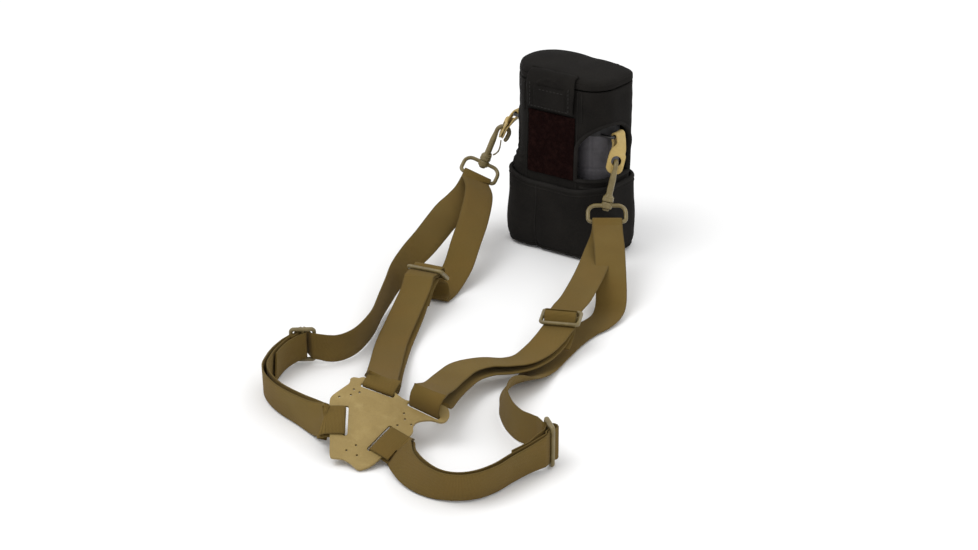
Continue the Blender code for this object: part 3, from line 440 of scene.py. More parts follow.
def enlarged(obj, finishes, *meshes):
    """Adds meshes given in millimetres to the object's own; with two finishes, they take the second."""
    obj.data.transform(Matrix.Scale(1000, 4))
    obj.data = merged(obj.data, *meshes, others=len(finishes) - 1)
    obj.data.transform(Matrix.Scale(0.001, 4))
    for finish in finishes:
        obj.data.materials.append(finish)


def applied(obj):
    """Gives the object the mesh that its modifiers make."""
    graph = bpy.context.evaluated_depsgraph_get()
    mesh = bpy.data.meshes.new_from_object(obj.evaluated_get(graph))
    obj.modifiers.clear()
    old, obj.data = obj.data, mesh
    bpy.data.meshes.remove(old)


def merged(*meshes, others=0):
    """One mesh of several; others is the material index of all but the first."""
    shape = bmesh.new()
    for i, mesh in enumerate(meshes):
        start = len(shape.faces)
        shape.from_mesh(mesh)
        shape.faces.ensure_lookup_table()
        for face in shape.faces[start:]:
            face.material_index = others if i else 0
            face.smooth = True
    return mesh_of(shape)


def tube(path, a, b, side=None, cyclic=False, sides=10):
    """A closed tube along points: side is the direction of the half width a, or one for each point."""
    count = len(path)
    verts = []
    last = None
    for i, p in enumerate(path):
        p = Vector(p)
        before = Vector(path[i - 1] if cyclic or i else path[0])
        after = Vector(path[(i + 1) % count] if cyclic or i < count - 1 else path[-1])
        tangent = (after - before).normalized()
        if side is None:
            width = last or tangent.orthogonal()
        else:
            width = side if isinstance(side, Vector) else side[i]
        width = (width - width.dot(tangent) * tangent).normalized()
        last = width
        up = tangent.cross(width)
        half_a = a[i] if isinstance(a, list) else a
        half_b = b[i] if isinstance(b, list) else b
        for k in range(sides):
            t = 2 * math.pi * k / sides
            verts.append(p + width * half_a * math.cos(t) + up * half_b * math.sin(t))
    faces = skin(count, sides, cyclic) + ([] if cyclic else caps(count, sides))
    return outward(mesh_from(verts, faces))


def loft(rings, closed):
    """A closed shell through rings of equally many points; open ends are capped to their middle."""
    n = len(rings[0])
    verts = [Vector(p) for ring in rings for p in ring]
    faces = skin(len(rings), n, closed)
    if not closed:
        for index in (0, len(rings) - 1):
            centre = sum((Vector(p) for p in rings[index]), Vector()) / n
            verts.append(centre)
            faces += [(index * n + k, index * n + (k + 1) % n, len(verts) - 1) for k in range(n)]
    return outward(mesh_from(verts, faces))


def remeshed(obj, voxel, smoothing):
    """Rebuilt from voxels, then relaxed."""
    step = obj.modifiers.new("remesh", "REMESH")
    step.mode = "VOXEL"
    step.voxel_size = voxel
    step.use_smooth_shade = True
    relax = obj.modifiers.new("relax", "SMOOTH")
    relax.factor = 0.5
    relax.iterations = smoothing
    applied(obj)


def moulded(name, parts, finish, voxel=0.00032, smoothing=6):
    """Overlapping shells moulded into one smooth body."""
    obj = object_of(name, merged(*parts), finish)
    remeshed(obj, voxel, smoothing)
    obj.data.materials.clear()
    obj.data.materials.append(finish)
    shaped(obj.data)
    return obj


def rounded(half_x, half_y, corner, steps):
    """A rectangle's outline with round corners."""
    points = []
    for sx, sy, start in ((1, -1, -90), (1, 1, 0), (-1, 1, 90), (-1, -1, 180)):
        for i in range(steps + 1):
            a = math.radians(start + 90 * i / steps)
            x, y = sx * (half_x - corner), sy * (half_y - corner)
            points.append((x + corner * math.cos(a), y + corner * math.sin(a)))
    return points


def spaced(points, count, cyclic=True):
    """Evenly spaced points along a polyline."""
    points = [Vector(p).to_3d() for p in points]
    if cyclic:
        points.append(points[0])
    lengths = [0.0]
    for p, q in zip(points, points[1:]):
        lengths.append(lengths[-1] + (q - p).length)
    found, at = [], 0
    for i in range(count):
        target = lengths[-1] * i / (count if cyclic else count - 1)
        while at < len(lengths) - 2 and lengths[at + 1] < target:
            at += 1
        t = (target - lengths[at]) / max(1e-9, lengths[at + 1] - lengths[at])
        found.append(points[at].lerp(points[at + 1], min(1.0, t)))
    return found


def ring_of(size, z, inset=0.0, narrow=1.0, blunt=1.0, count=160):
    """A level ring, anticlockwise from the middle of its front, inside a rounded outline of this size.

    The inset counts narrow times in its depth and blunt times in its corners.
    """
    half_x, half_y, corner = size[0] - inset, size[1] - inset * narrow, size[2] - inset * blunt
    corner = max(0.6, min(corner, half_x - 0.05, half_y - 0.05))
    outline = [(0.0, -half_y)] + rounded(half_x, half_y, corner, 16)
    return [vec(p.x, p.y, z) for p in spaced(outline, count)]


def stitches(rows, out):
    """Thread stitches along rows of (start, end), each one dipping into the cloth at both its ends."""
    parts = []
    for start, end in rows:
        run = (end - start).length
        count = max(1, int(run // (STITCH_LENGTH + STITCH_GAP)))
        heading = (end - start).normalized()
        for i in range(count):
            a = start + heading * (run * (i + 0.5) / count - STITCH_LENGTH / 2)
            stops = ((0, -0.25), (0.4, 0.18), (STITCH_LENGTH - 0.4, 0.18), (STITCH_LENGTH, -0.25))
            points = [a + heading * along + out * rise for along, rise in stops]
            parts.append(tube(points, STITCH_R, STITCH_R, sides=6))
    return merged(*parts)


# ---------------------------------------------------------------- webbing


def spline(p, t):
    """The smooth curve from p[1] to p[2] that p[0] and p[3] guide."""
    return 0.5 * (
        2 * p[1] + (p[2] - p[0]) * t + (2 * p[0] - 5 * p[1] + 4 * p[2] - p[3]) * t * t
        + (3 * p[1] - p[0] - 3 * p[2] + p[3]) * t ** 3
    )


def through(stations, step=2.4):
    """A smooth path of (point, width) through the stations."""
    stations = [(Vector(p), Vector(w)) for p, w in stations]
    for i in range(1, len(stations)):
        if stations[i][1].dot(stations[i - 1][1]) < 0:
            stations[i] = (stations[i][0], -stations[i][1])
    found = []
    for i in range(len(stations) - 1):
        around = [stations[max(0, min(len(stations) - 1, i + k))] for k in (-1, 0, 1, 2)]
        p = [s[0] for s in around]
        w = [s[1] for s in around]
        count = max(1, round((p[2] - p[1]).length / step))
        for k in range(count):
            found.append((spline(p, k / count), spline(w, k / count)))
    found.append(stations[-1])
    return found


# Half of a strip's cross-section from its left edge, over the top; the other half is the same turned round.
OVER = [
    (-1.0, 0.0), (-0.985, 0.6), (-0.95, 0.95), (-0.6, 1.0), (-0.2, 1.0), (0.2, 1.0), (0.6, 1.0), (0.95, 0.95),
    (0.985, 0.6),
]
SECTION = OVER + [(-u, -v) for u, v in OVER]


def band(path, thickness, place=world):
    """A strip with rounded edges along (point, half width vector), its run in its UV map, and its length."""
    points = [Vector(p) for p, _ in path]
    verts, uvs = [], []
    last, run = None, 0.0
    n = len(SECTION)
    for i, (p, w) in enumerate(path):
        ahead = points[min(i + 1, len(points) - 1)] - points[i]
        behind = points[i] - points[max(i - 1, 0)]
        tangent = (ahead.normalized() + behind.normalized()).normalized()
        half = Vector(w).length
        w = (Vector(w) - Vector(w).dot(tangent) * tangent).normalized()
        if last is not None and w.dot(last) < 0:
            w = -w
        last = w
        up = tangent.cross(w)
        run += behind.length
        for u, v in SECTION:
            verts.append(place(points[i] + w * half * u + up * thickness / 2 * v))
            uvs.append((u * half / WEB_WIDE + 0.5, run / WEB_WIDE))
    mesh = mesh_from(verts, skin(len(path), n) + caps(len(path), n))
    layer = mesh.uv_layers.new(name="run")
    for loop in mesh.loops:
        layer.data[loop.index].uv = uvs[loop.vertex_index]
    return outward(mesh), run


ARC_STEP = 12.0


class Slider:
    """A three-bar strap slider: its centre bar, the strap's direction towards the ring, and its hump side."""

    def __init__(self, name, centre, along, out):
        self.name = name
        self.centre = Vector(centre)
        self.along = Vector(along).normalized()
        out = Vector(out)
        self.out = (out - out.dot(self.along) * self.along).normalized()
        self.bar = self.out.cross(self.along)

    def at(self, towards, n):
        """A path point this far towards the ring and n off the slider's flat side."""
        return (self.centre + self.along * towards + self.out * n, self.bar)

    def arc(self, centre, radius, start, end):
        """Path points round a bar, from one angle to another in degrees."""
        count = max(1, math.ceil(abs(end - start) / ARC_STEP))
        angles = [math.radians(start + (end - start) * i / count) for i in range(count + 1)]
        return [self.at(centre[0] + radius * math.cos(a), centre[1] + radius * math.sin(a)) for a in angles]

    def running(self):
        """The strap over the middle bar and under the outer ones, as its plate half and its ring half."""
        low = BAR_R + 0.5 + WEB_THICK / 2
        high = BAR_R + 0.7 + WEB_THICK * 1.5
        rise = math.degrees(math.atan2(HUMP, BAR_PITCH))
        lean = math.degrees(math.asin((low + high) / math.hypot(HUMP, BAR_PITCH))) + rise
        near = self.arc((-BAR_PITCH, 0), low, -100, lean - 90)
        over = self.arc((0, HUMP), high, lean + 90, 90)
        other = self.arc((0, HUMP), high, 90, 90 - lean)
        far = self.arc((BAR_PITCH, 0), low, -90 - lean, -80)
        return near + over[:-1], other[1:] + far

    def sewn(self):
        """The strap's sewn end: under an outer bar, round the middle one and back along itself."""
        inner = BAR_R + GAP + WEB_THICK / 2
        outer = BAR_R + 1.0 + WEB_THICK * 1.5
        lean = math.degrees(math.asin((inner + outer) / BAR_PITCH))
        near = self.arc((-BAR_PITCH, 0), outer, -100, lean - 90)
        around = self.arc((0, 0), inner, lean + 90, -75)
        start = self.at(-3.6, -4.8)
        first, *rest = TAILS[self.name]
        width = TAIL_WIDTHS.get(self.name, self.bar)
        return near + around + through([start, (first, self.bar), *((p, width) for p in rest)])


def wrap(bar, width, pull, radius):
    """Webbing folded over a bar: front side first, pulled away along pull."""
    bar, width, pull = Vector(bar), Vector(width).normalized(), Vector(pull)
    pull = (pull - pull.dot(width) * width).normalized()
    front = pull.cross(width)
    found = [(bar + front * (radius + 0.2) + pull * 5, width)]
    for i in range(13):
        a = math.radians(15 * i)
        found.append((bar + front * radius * math.cos(a) - pull * radius * math.sin(a), width))
    found.append((bar - front * (radius + 0.2) + pull * 5, width))
    return found


def on_plate(a, v, n=0.0):
    """A point of the sloping back plate, v up its slope from its foot and n above its middle."""
    c, s = math.cos(PLATE_SLOPE), math.sin(PLATE_SLOPE)
    return vec(a, PLATE_FOOT_Y + v * c - n * s, PLATE_LIFT + v * s + n * c)


# Slot centres on the plate (across, up the slope), the direction out to the edge, and how far the edge is.
SLOTS = {
    "left_shoulder": ((-152.7, 71.7), (0.413, 0.911), 10.0),
    "left_under": ((-175.2, 44.1), (-1.0, 0.0), 13.5),
    "right_under": ((-149.9, 28.2), (0.798, -0.603), 17.0),
    "right_shoulder": ((-118.8, 53.0), (0.51, 0.86), 13.5),
}


def fold(slot, over=()):
    """Webbing from above the plate's edge strip, down through the slot and out below it.

    over holds (outward, above) points for webbing that stands up off the plate instead of lying on it.
    """
    (a, v), (oa, ov), edge = SLOTS[slot]
    width = on_plate(-ov, oa) - on_plate(0, 0)
    steps = over or ((edge + 2, 2.1), (edge, 2.2), (3.0, 2.2), (1.4, 1.95), (0.6, 1.1), (0.45, 0))
    steps += ((0.6, -1.1), (1.4, -1.95), (3.0, -2.2), (edge, -2.2), (edge + 2, -2.1))
    return [(on_plate(a + oa * o, v + ov * o, n), width) for o, n in steps]


SLIDERS = {
    name: Slider(name, centre, along, out)
    for name, centre, along, out in (
        ("left_shoulder", (-121.3, -134.7, 26.3), (0.30, 0.70, -0.63), (0.27, 0.57, 0.76)),
        ("left_under", (-216.0, -256.0, 16.9), (0.99, 0.06, 0.0), (-0.06, 0.96, 0.25)),
        ("right_shoulder", (-14.7, -226.3, 26.4), (0.20, 0.97, 0.15), (-0.03, -0.15, 0.99)),
        ("right_under", (-28.3, -423.3, 16.9), (-0.25, 0.97, 0.0), (0.97, 0.25, 0.0)),
    )
}

# Each side's ring: middle of its swivel bar, its bar direction, and the way the webbing pulls.
RINGS = {
    "left": ((-76.1, 33.6, 59.5), (0.905, -0.166, -0.392), (-0.37, -0.72, -0.585)),
    "right": ((28.0, -60.1, 56.0), (1.0, 0.0, 0.0), (0.0, -0.76, -0.65)),
}

# Each side's hook: the way it points from the ring, and the way its nose turns.
HOOKS = {
    "left": ((0.36, 0.02, 0.93), (0.93, 0.0, -0.36)),
    "right": ((0.22, 0.30, 0.93), (-0.07, 0.95, -0.29)),
}


def ring_frame(side):
    """The ring's origin, bar direction and pull, the last two square to each other."""
    top, bar, pull = (Vector(v) for v in RINGS[side])
    bar.normalize()
    pull = (pull - pull.dot(bar) * bar).normalized()
    return top, bar, pull


def ring_foot(side):
    top, _, pull = ring_frame(side)
    return top + pull * RING_TALL


# Webbing stations: across, back and up in the harness's own turned frame, then the width direction.
LEFT_SHOULDER_UPPER = [
    ((-151, -350, 31.5), (0.92, -0.36, -0.17)),
    ((-152, -325, 21), (0.95, -0.25, -0.05)),
    ((-151, -288, 13), (0.98, -0.15, 0.0)),
    ((-148, -238, 9.5), (0.96, -0.25, 0.0)),
    ((-142, -204, 12), (0.93, -0.35, 0.0)),
    ((-136, -180, 17.5), (0.92, -0.40, 0.0)),
    ((-131, -164, 24), (0.91, -0.42, 0.0)),
    ((-128.3, -150.7, 30), (0.905, -0.425, 0.0)),
]
LEFT_SHOULDER_LOWER = [
    ((-150, -352, 25.5), (0.92, -0.36, -0.17)),
    ((-150, -325, 15.5), (0.95, -0.25, -0.05)),
    ((-149, -288, 9), (0.98, -0.15, 0.0)),
    ((-145, -238, 5.5), (0.96, -0.25, 0.0)),
    ((-139, -203, 7.5), (0.93, -0.35, 0.0)),
    ((-134, -180, 12.5), (0.92, -0.40, 0.0)),
    ((-130.5, -165, 19.5), (0.91, -0.42, 0.0)),
    ((-129.1, -152.5, 26), (0.905, -0.425, 0.0)),
]
LEFT_RISER = [
    ((-116.0, -126.5, 12.5), (0.905, -0.425, 0.0)),
    ((-115.5, -127.8, 8.0), (0.905, -0.425, 0.0)),
    ((-116.1, -130.7, 4.8), (0.905, -0.425, 0.0)),
    ((-116.7, -133.2, 4.3), (0.905, -0.425, 0.0)),
    ((-116.8, -134.5, 3.1), (0.905, -0.425, 0.0)),
    ((-115.8, -132.7, 1.8), (0.905, -0.425, 0.0)),
    ((-112, -125, 2.0), (0.91, -0.40, 0.0)),
    ((-107, -114, 4.0), (0.92, -0.38, -0.02)),
    ((-97.5, -95, 14.5), (0.93, -0.33, -0.10)),
    ((-91, -73, 27), (0.93, -0.30, -0.20)),
    ((-84, -42, 38), (0.92, -0.22, -0.30)),
    ((-80, -6, 46.5), (0.905, -0.17, -0.38)),
]
LEFT_CHEST = [
    ((-90, 2, 42.5), (0.88, -0.17, -0.44)),
    ((-98, -15, 39.5), (0.84, -0.15, -0.52)),
    ((-108, -34, 36.5), (0.78, -0.10, -0.62)),
    ((-125, -74, 29), (0.62, 0.0, -0.78)),
    ((-137, -96, 23.5), (0.48, 0.10, -0.87)),
    ((-148, -121, 18), (0.30, 0.15, -0.94)),
    ((-154, -145, 14.5), (0.15, 0.20, -0.97)),
    ((-159, -171, 13), (0.05, 0.20, -0.98)),
    ((-163.5, -202, 12.9), (0.0, 0.20, -0.98)),
    ((-168.5, -222, 13.05), (0.0, 0.22, -0.97)),
    ((-175.5, -240, 13.05), (0.0, 0.22, -0.97)),
    ((-184, -251, 12.9), (0.0, 0.22, -0.97)),
    ((-192, -256.5, 13.6), (0.0, 0.23, -0.97)),
    ((-199, -258.6, 15.2), (0.0, 0.24, -0.97)),
]
LEFT_UNDER_OUTER = [
    ((-231, -266, 14.9), (0.0, 0.25, -0.97)),
    ((-237, -278, 13.9), (0.0, 0.25, -0.97)),
    ((-241, -292, 13.2), (0.0, 0.27, -0.96)),
    ((-242.5, -308, 13.05), (0.0, 0.28, -0.96)),
    ((-238.5, -326, 13.05), (0.0, 0.25, -0.96)),
    ((-228.5, -345, 13.05), (0.0, 0.20, -0.97)),
    ((-213, -364, 13.05), (0.0, 0.10, -0.98)),
    ((-201, -378, 13.6), (0.0, -0.20, -0.97)),
    ((-192.5, -390, 17.5), (0.0, -0.62, -0.78)),
]
LEFT_UNDER_INNER = [
    ((-230, -268.5, 14.2), (0.0, 0.25, -0.97)),
    ((-234.5, -279.5, 13.5), (0.0, 0.25, -0.97)),
    ((-237.7, -292, 13.2), (0.0, 0.27, -0.96)),
    ((-239, -306.5, 13.05), (0.0, 0.28, -0.96)),
    ((-235, -323, 13.05), (0.0, 0.25, -0.96)),
    ((-225.5, -341.5, 13.05), (0.0, 0.20, -0.97)),
    ((-210, -360, 13.05), (0.0, 0.10, -0.98)),
    ((-198, -373, 13.05), (0.0, -0.15, -0.98)),
    ((-190.5, -386, 14.6), (0.0, -0.60, -0.80)),
]
RIGHT_SHOULDER_UPPER = [
    ((-113, -372, 34), (0.86, -0.50, -0.12)),
    ((-107.5, -349, 26), (0.85, -0.52, 0.0)),
    ((-100.5, -325, 21.5), (0.80, -0.60, 0.02)),
    ((-90, -302, 19), (0.62, -0.78, 0.05)),
    ((-74, -288, 16.5), (0.25, -0.95, 0.14)),
    ((-58, -283, 14.2), (0.15, -0.96, 0.18)),
    ((-44, -276, 13.8), (0.45, -0.87, 0.10)),
    ((-32, -262, 15.8), (0.75, -0.65, 0.0)),
    ((-23, -248, 19.2), (0.93, -0.36, 0.0)),
]
RIGHT_SHOULDER_LOWER = [
    ((-109.5, -370, 22), (0.86, -0.50, -0.08)),
    ((-104.5, -349, 18), (0.85, -0.52, 0.0)),
    ((-97.5, -326, 14.8), (0.79, -0.61, 0.02)),
    ((-87, -304, 12.8), (0.60, -0.80, 0.05)),
    ((-72, -290.5, 11), (0.24, -0.95, 0.10)),
    ((-57, -285.5, 9.6), (0.15, -0.96, 0.12)),
    ((-43.5, -278, 9.8), (0.45, -0.87, 0.08)),
    ((-31.5, -263.5, 11.6), (0.75, -0.65, 0.0)),
    ((-22.6, -249, 15.2), (0.93, -0.36, 0.0)),
]
RIGHT_CHEST = [
    ((-8, -203, 25.4), (0.985, -0.17, 0.0)),
    ((-1, -186, 26.4), (0.99, -0.14, 0.0)),
    ((11, -144, 29), (1.0, -0.10, 0.0)),
    ((20.5, -104, 32.5), (1.0, -0.04, 0.0)),
    ((26, -85, 37), (1.0, 0.0, 0.0)),
]
RIGHT_RISER = [
    ((28, -91, 42.5), (1.0, 0.0, 0.0)),
    ((28.5, -108, 38), (1.0, 0.0, 0.0)),
    ((28.5, -126, 32), (1.0, 0.0, 0.0)),
    ((28.5, -141, 24.5), (1.0, 0.0, 0.0)),
    ((28.5, -152, 15), (0.99, -0.05, 0.02)),
    ((27.5, -161, 6.8), (0.97, -0.15, 0.05)),
    ((23.5, -172, 2.8), (0.88, -0.42, 0.06)),
    ((15.5, -184, 1.6), (0.74, -0.66, 0.02)),
    ((4, -197, 1.5), (0.76, -0.65, 0.0)),
    ((-8, -217, 1.5), (0.86, -0.50, 0.0)),
    ((-20, -243, 1.6), (0.89, -0.45, 0.02)),
    ((-32, -272, 2.4), (0.88, -0.46, 0.08)),
    ((-43, -296, 5.6), (0.78, -0.50, 0.32)),
    ((-53, -314, 10), (0.52, -0.48, 0.68)),
    ((-58.5, -331, 12.6), (0.26, -0.40, 0.88)),
    ((-60.5, -350, 13.05), (0.20, -0.36, 0.90)),
    ((-57, -371, 13.05), (0.22, -0.32, 0.92)),
    ((-50, -388, 13.2), (0.22, -0.22, 0.94)),
    ((-41.5, -400, 14.8), (0.12, -0.10, 0.98)),
    ((-36.2, -407.5, 16.2), (0.03, -0.03, 1.0)),
]
RIGHT_UNDER_OUTER = [
    ((-31.5, -439, 16.7), (0.0, -0.08, 0.99)),
    ((-42, -447.5, 15.2), (0.03, -0.22, 0.97)),
    ((-54, -459, 13.9), (0.03, -0.26, 0.96)),
    ((-66, -472.5, 13.05), (0.03, -0.28, 0.96)),
    ((-79, -482.5, 13.05), (0.0, -0.30, 0.95)),
    ((-93, -486, 13.05), (0.0, -0.30, 0.95)),
    ((-107, -482, 13.05), (0.04, -0.24, 0.96)),
    ((-119.5, -471, 13.05), (0.12, -0.05, 0.98)),
    ((-129, -455, 13.2), (0.30, 0.20, 0.92)),
    ((-134.4, -436, 13.2), (0.50, 0.54, 0.68)),
]
RIGHT_UNDER_INNER = [
    ((-33.8, -437.5, 16.7), (0.0, -0.08, 0.99)),
    ((-43.6, -444.5, 15.2), (0.03, -0.22, 0.97)),
    ((-56.5, -456, 13.8), (0.03, -0.26, 0.96)),
    ((-68, -469, 13.05), (0.03, -0.28, 0.96)),
    ((-80, -478.5, 13.05), (0.0, -0.30, 0.95)),
    ((-93, -482, 13.05), (0.0, -0.30, 0.95)),
    ((-105.5, -478.5, 13.05), (0.04, -0.24, 0.96)),
    ((-117, -468, 13.05), (0.12, -0.05, 0.98)),
    ((-127, -452, 12.6), (0.32, 0.22, 0.92)),
    ((-132.3, -433, 10.6), (0.52, 0.60, 0.60)),
]

# Where each sewn end's tail lies, from under the slider's middle bar to its cut end.
TAILS = {
    "left_shoulder": [(-126, -149, 23.6), (-128.6, -158, 20.2), (-130.3, -165, 16.6), (-131.8, -172, 13.2)],
    "left_under": [(-225.0, -266.5, 14.6), (-229.4, -274, 13.7), (-232.4, -283, 13.3), (-234.3, -291, 13.2)],
    "right_shoulder": [(-16, -233.5, 19.4), (-17, -238, 17), (-18.4, -243, 14.6), (-20.5, -249.5, 11.6)],
    "right_under": [(-36.0, -434.2, 16.8), (-42.8, -440.2, 15.6), (-49.0, -445.8, 14.6), (-56.0, -452, 13.9)],
}
TAIL_WIDTHS = {"right_under": (0.03, -0.22, 0.97)}
# How far the right under strap's outer layer stands off the plate's edge.
LOW_RISE = 0.8

# The back plate's outline on its own slope: across, and up from its foot.
PLATE_OUTLINE = [
    (-164.6, 0.9), (-158.5, 2.4), (-152.5, 6.8), (-144.5, 16.0), (-136.0, 24.7), (-130.4, 28.3),
    (-126.4, 34.0), (-126.0, 39.5), (-122.5, 43.4), (-113.5, 44.6), (-106.0, 42.5), (-101.6, 45.0),
    (-100.0, 51.0), (-103.0, 57.0), (-114.0, 61.5), (-126.0, 65.0), (-129.5, 62.2), (-134.0, 64.2),
    (-139.5, 69.5), (-142.0, 74.5), (-152.0, 79.5), (-163.0, 84.0), (-166.5, 83.2), (-170.8, 84.0),
    (-173.2, 82.0), (-173.6, 78.4), (-180.5, 72.0), (-186.3, 66.0), (-187.4, 60.0), (-187.0, 44.0),
    (-185.8, 27.0), (-185.2, 13.0), (-182.0, 10.9), (-175.8, 10.0), (-170.3, 6.2),
]
PLATE_HOLES = [
    (-172.1, 67.7), (-170.1, 72.8), (-165.9, 70.0), (-180.5, 66.0),
    (-166.8, 22.1), (-173.5, 17.6), (-165.8, 13.2),
    (-133.0, 50.8), (-132.2, 45.4), (-127.6, 40.6), (-137.5, 40.0),
]


def half_web(path):
    """The path at the webbing's own half width."""
    return [(p, Vector(w).normalized() * WEB_WIDE / 2) for p, w in path]


def strap(name, path, node):
    """Webbing along a path, in place of the CAD node."""
    mesh, run = band(half_web(path), WEB_SHOWN)
    obj = object_of(name, shaped(mesh, 60), FINISHES["webbing"])
    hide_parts(node)
    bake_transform(obj)


def shoulder_path(name, lower, upper, high, folded):
    """From the sewn end along the lower layer, through the plate's slot and back along the upper one."""
    up = through([*lower[::-1], high[-1]])[:-1]
    top = through([high[0], *upper])[1:]
    return SLIDERS[name].sewn()[::-1] + up + folded[::-1] + top + SLIDERS[name].running()[0]


def under_path(name, outer, inner, low):
    """From the slider along the outer layer, through the plate's slot and back along the inner one."""
    out = through([*outer, low[0]])[:-1]
    back = through([low[-1], *inner[::-1]])[1:]
    return SLIDERS[name].running()[0][::-1] + out + low + back + SLIDERS[name].sewn()


def left_straps():
    ring = wrap(ring_foot("left"), RINGS["left"][1], RINGS["left"][2], RING_R + GAP + WEB_THICK / 2)
    high = fold("left_shoulder")
    path = shoulder_path("left_shoulder", LEFT_SHOULDER_LOWER, LEFT_SHOULDER_UPPER, high, high)
    strap("webbing_left_shoulder", path, "strap_left_shoulder")
    rise = through([LEFT_RISER[6], *LEFT_RISER[7:], ring[0]])[1:-1]
    riser = SLIDERS["left_shoulder"].running()[1] + LEFT_RISER[:7] + rise + ring[:8]
    strap("webbing_left_riser", riser, "strap_left_chest")
    down = ring[7:] + through([ring[-1], *LEFT_CHEST])[1:] + SLIDERS["left_under"].running()[1][::-1]
    strap("webbing_left_chest", down, "strap_left_chest")
    path = under_path("left_under", LEFT_UNDER_OUTER, LEFT_UNDER_INNER, fold("left_under"))
    strap("webbing_left_under", path, "strap_left_under")


def right_straps():
    ring = wrap(ring_foot("right"), RINGS["right"][1], RINGS["right"][2], RING_R + GAP + WEB_THICK / 2)
    stand = ((9.5, 14.2), (6.0, 13.6), (3.2, 11.6), (1.6, 8.4), (0.9, 4.6), (0.6, 1.6), (0.45, 0))
    high = fold("right_shoulder", stand)
    roll = through(high[:4])[:-1] + high[3:]
    path = shoulder_path("right_shoulder", RIGHT_SHOULDER_LOWER, RIGHT_SHOULDER_UPPER, high, roll)
    strap("webbing_right_shoulder", path, "strap_right_shoulder")
    rise = through([*RIGHT_CHEST, ring[-1]])[:-1]
    chest = SLIDERS["right_shoulder"].running()[1] + rise + ring[::-1][:8]
    strap("webbing_right_chest", chest, "strap_right_chest")
    down = ring[::-1][7:] + through([ring[0], *RIGHT_RISER])[1:] + SLIDERS["right_under"].running()[1][::-1]
    strap("webbing_right_riser", down, "strap_right_chest")
    low = fold("right_under")
    low[:2] = [(p + vec(0, 0, LOW_RISE / k), w) for k, (p, w) in enumerate(low[:2], 1)]
    path = under_path("right_under", RIGHT_UNDER_OUTER, RIGHT_UNDER_INNER, low)
    strap("webbing_right_under", path, "strap_right_under")


# ---------------------------------------------------------------- harness hardware


def frame_matrix(origin, x, y, z):
    """The frame of this origin and these axes, turned with the harness."""
    made = Matrix.Identity(4)
    for i, axis in enumerate((x, y, z)):
        for j, value in enumerate(world(axis)):
            made[j][i] = value
    made.translation = world(origin)
    return made


def moved(points, matrix):
    """The points placed by the matrix."""
    return [matrix @ Vector(p).to_3d() for p in points]


def slider_piece(place):
    half = (SLIDER_WIDE - 2 * BAR_R) / 2
    matrix = frame_matrix(place.centre, place.bar, place.along, -place.out)
    loop = spaced(rounded(half, BAR_PITCH, 2.2, 5), 90)
    parts = [tube(moved(loop, matrix), BAR_R + 0.05, BAR_R + 0.05, cyclic=True, sides=14)]
    parts.append(tube(moved([vec(-half, 0), vec(0, 0), vec(half, 0)], matrix), BAR_R, BAR_R, sides=14))
    for x in (-half, half):
        cheek = spaced([(x, -BAR_PITCH + 1.0), (x, BAR_PITCH - 1.0)], 12, False)
        parts.append(tube(moved(cheek, matrix), BAR_R + 0.35, BAR_R - 0.05, matrix.to_3x3() @ UP, sides=14))
    obj = moulded("strap_slider_" + place.name, parts, FINISHES["plastic"])
    keep(obj, "slider_" + place.name, "olive_plastic", "slider_" + place.name)


def hook_axes(side):
    """The hook's nose, face and lift directions, all square to each other."""
    lift, nose = (Vector(v) for v in HOOKS[side])
    lift.normalize()
    nose = (nose - nose.dot(lift) * lift).normalized()
    return nose, lift.cross(nose), lift


def ring_outline():
    """The ring's centre line: wide round shoulders by the hook, tighter corners beside the webbing."""
    half = RING_WIDE / 2
    points = []
    for sx, sy, start, corner in ((1, 0, -90, 7.0), (1, 1, 0, 3.2), (-1, 1, 90, 3.2), (-1, 0, 180, 7.0)):
        for i in range(9):
            a = math.radians(start + 11.25 * i)
            x = sx * (half - corner) + corner * math.cos(a)
            y = (RING_TALL - corner if sy else corner) + corner * math.sin(a)
            points.append(vec(x, y))
    return points


def ring_piece(side):
    top, bar, pull = ring_frame(side)
    loop = spaced(ring_outline(), 120)
    matrix = frame_matrix(top, bar, pull, bar.cross(pull))
    lift = hook_axes(side)[2]
    parts = [tube(moved(loop, matrix), RING_R, RING_R, cyclic=True, sides=16)]
    parts.append(rod(world(top - lift * 2.6), world(top + lift * 2.1), BOSS_R))
    parts.append(rod(world(top + lift * 2.0), world(top + lift * 2.9), BOSS_R, top_radius=BOSS_R - 0.5))
    obj = moulded("web_ring_" + side, parts, FINISHES["plastic"])
    keep(obj, "harness", "olive_plastic", "ring_" + side)


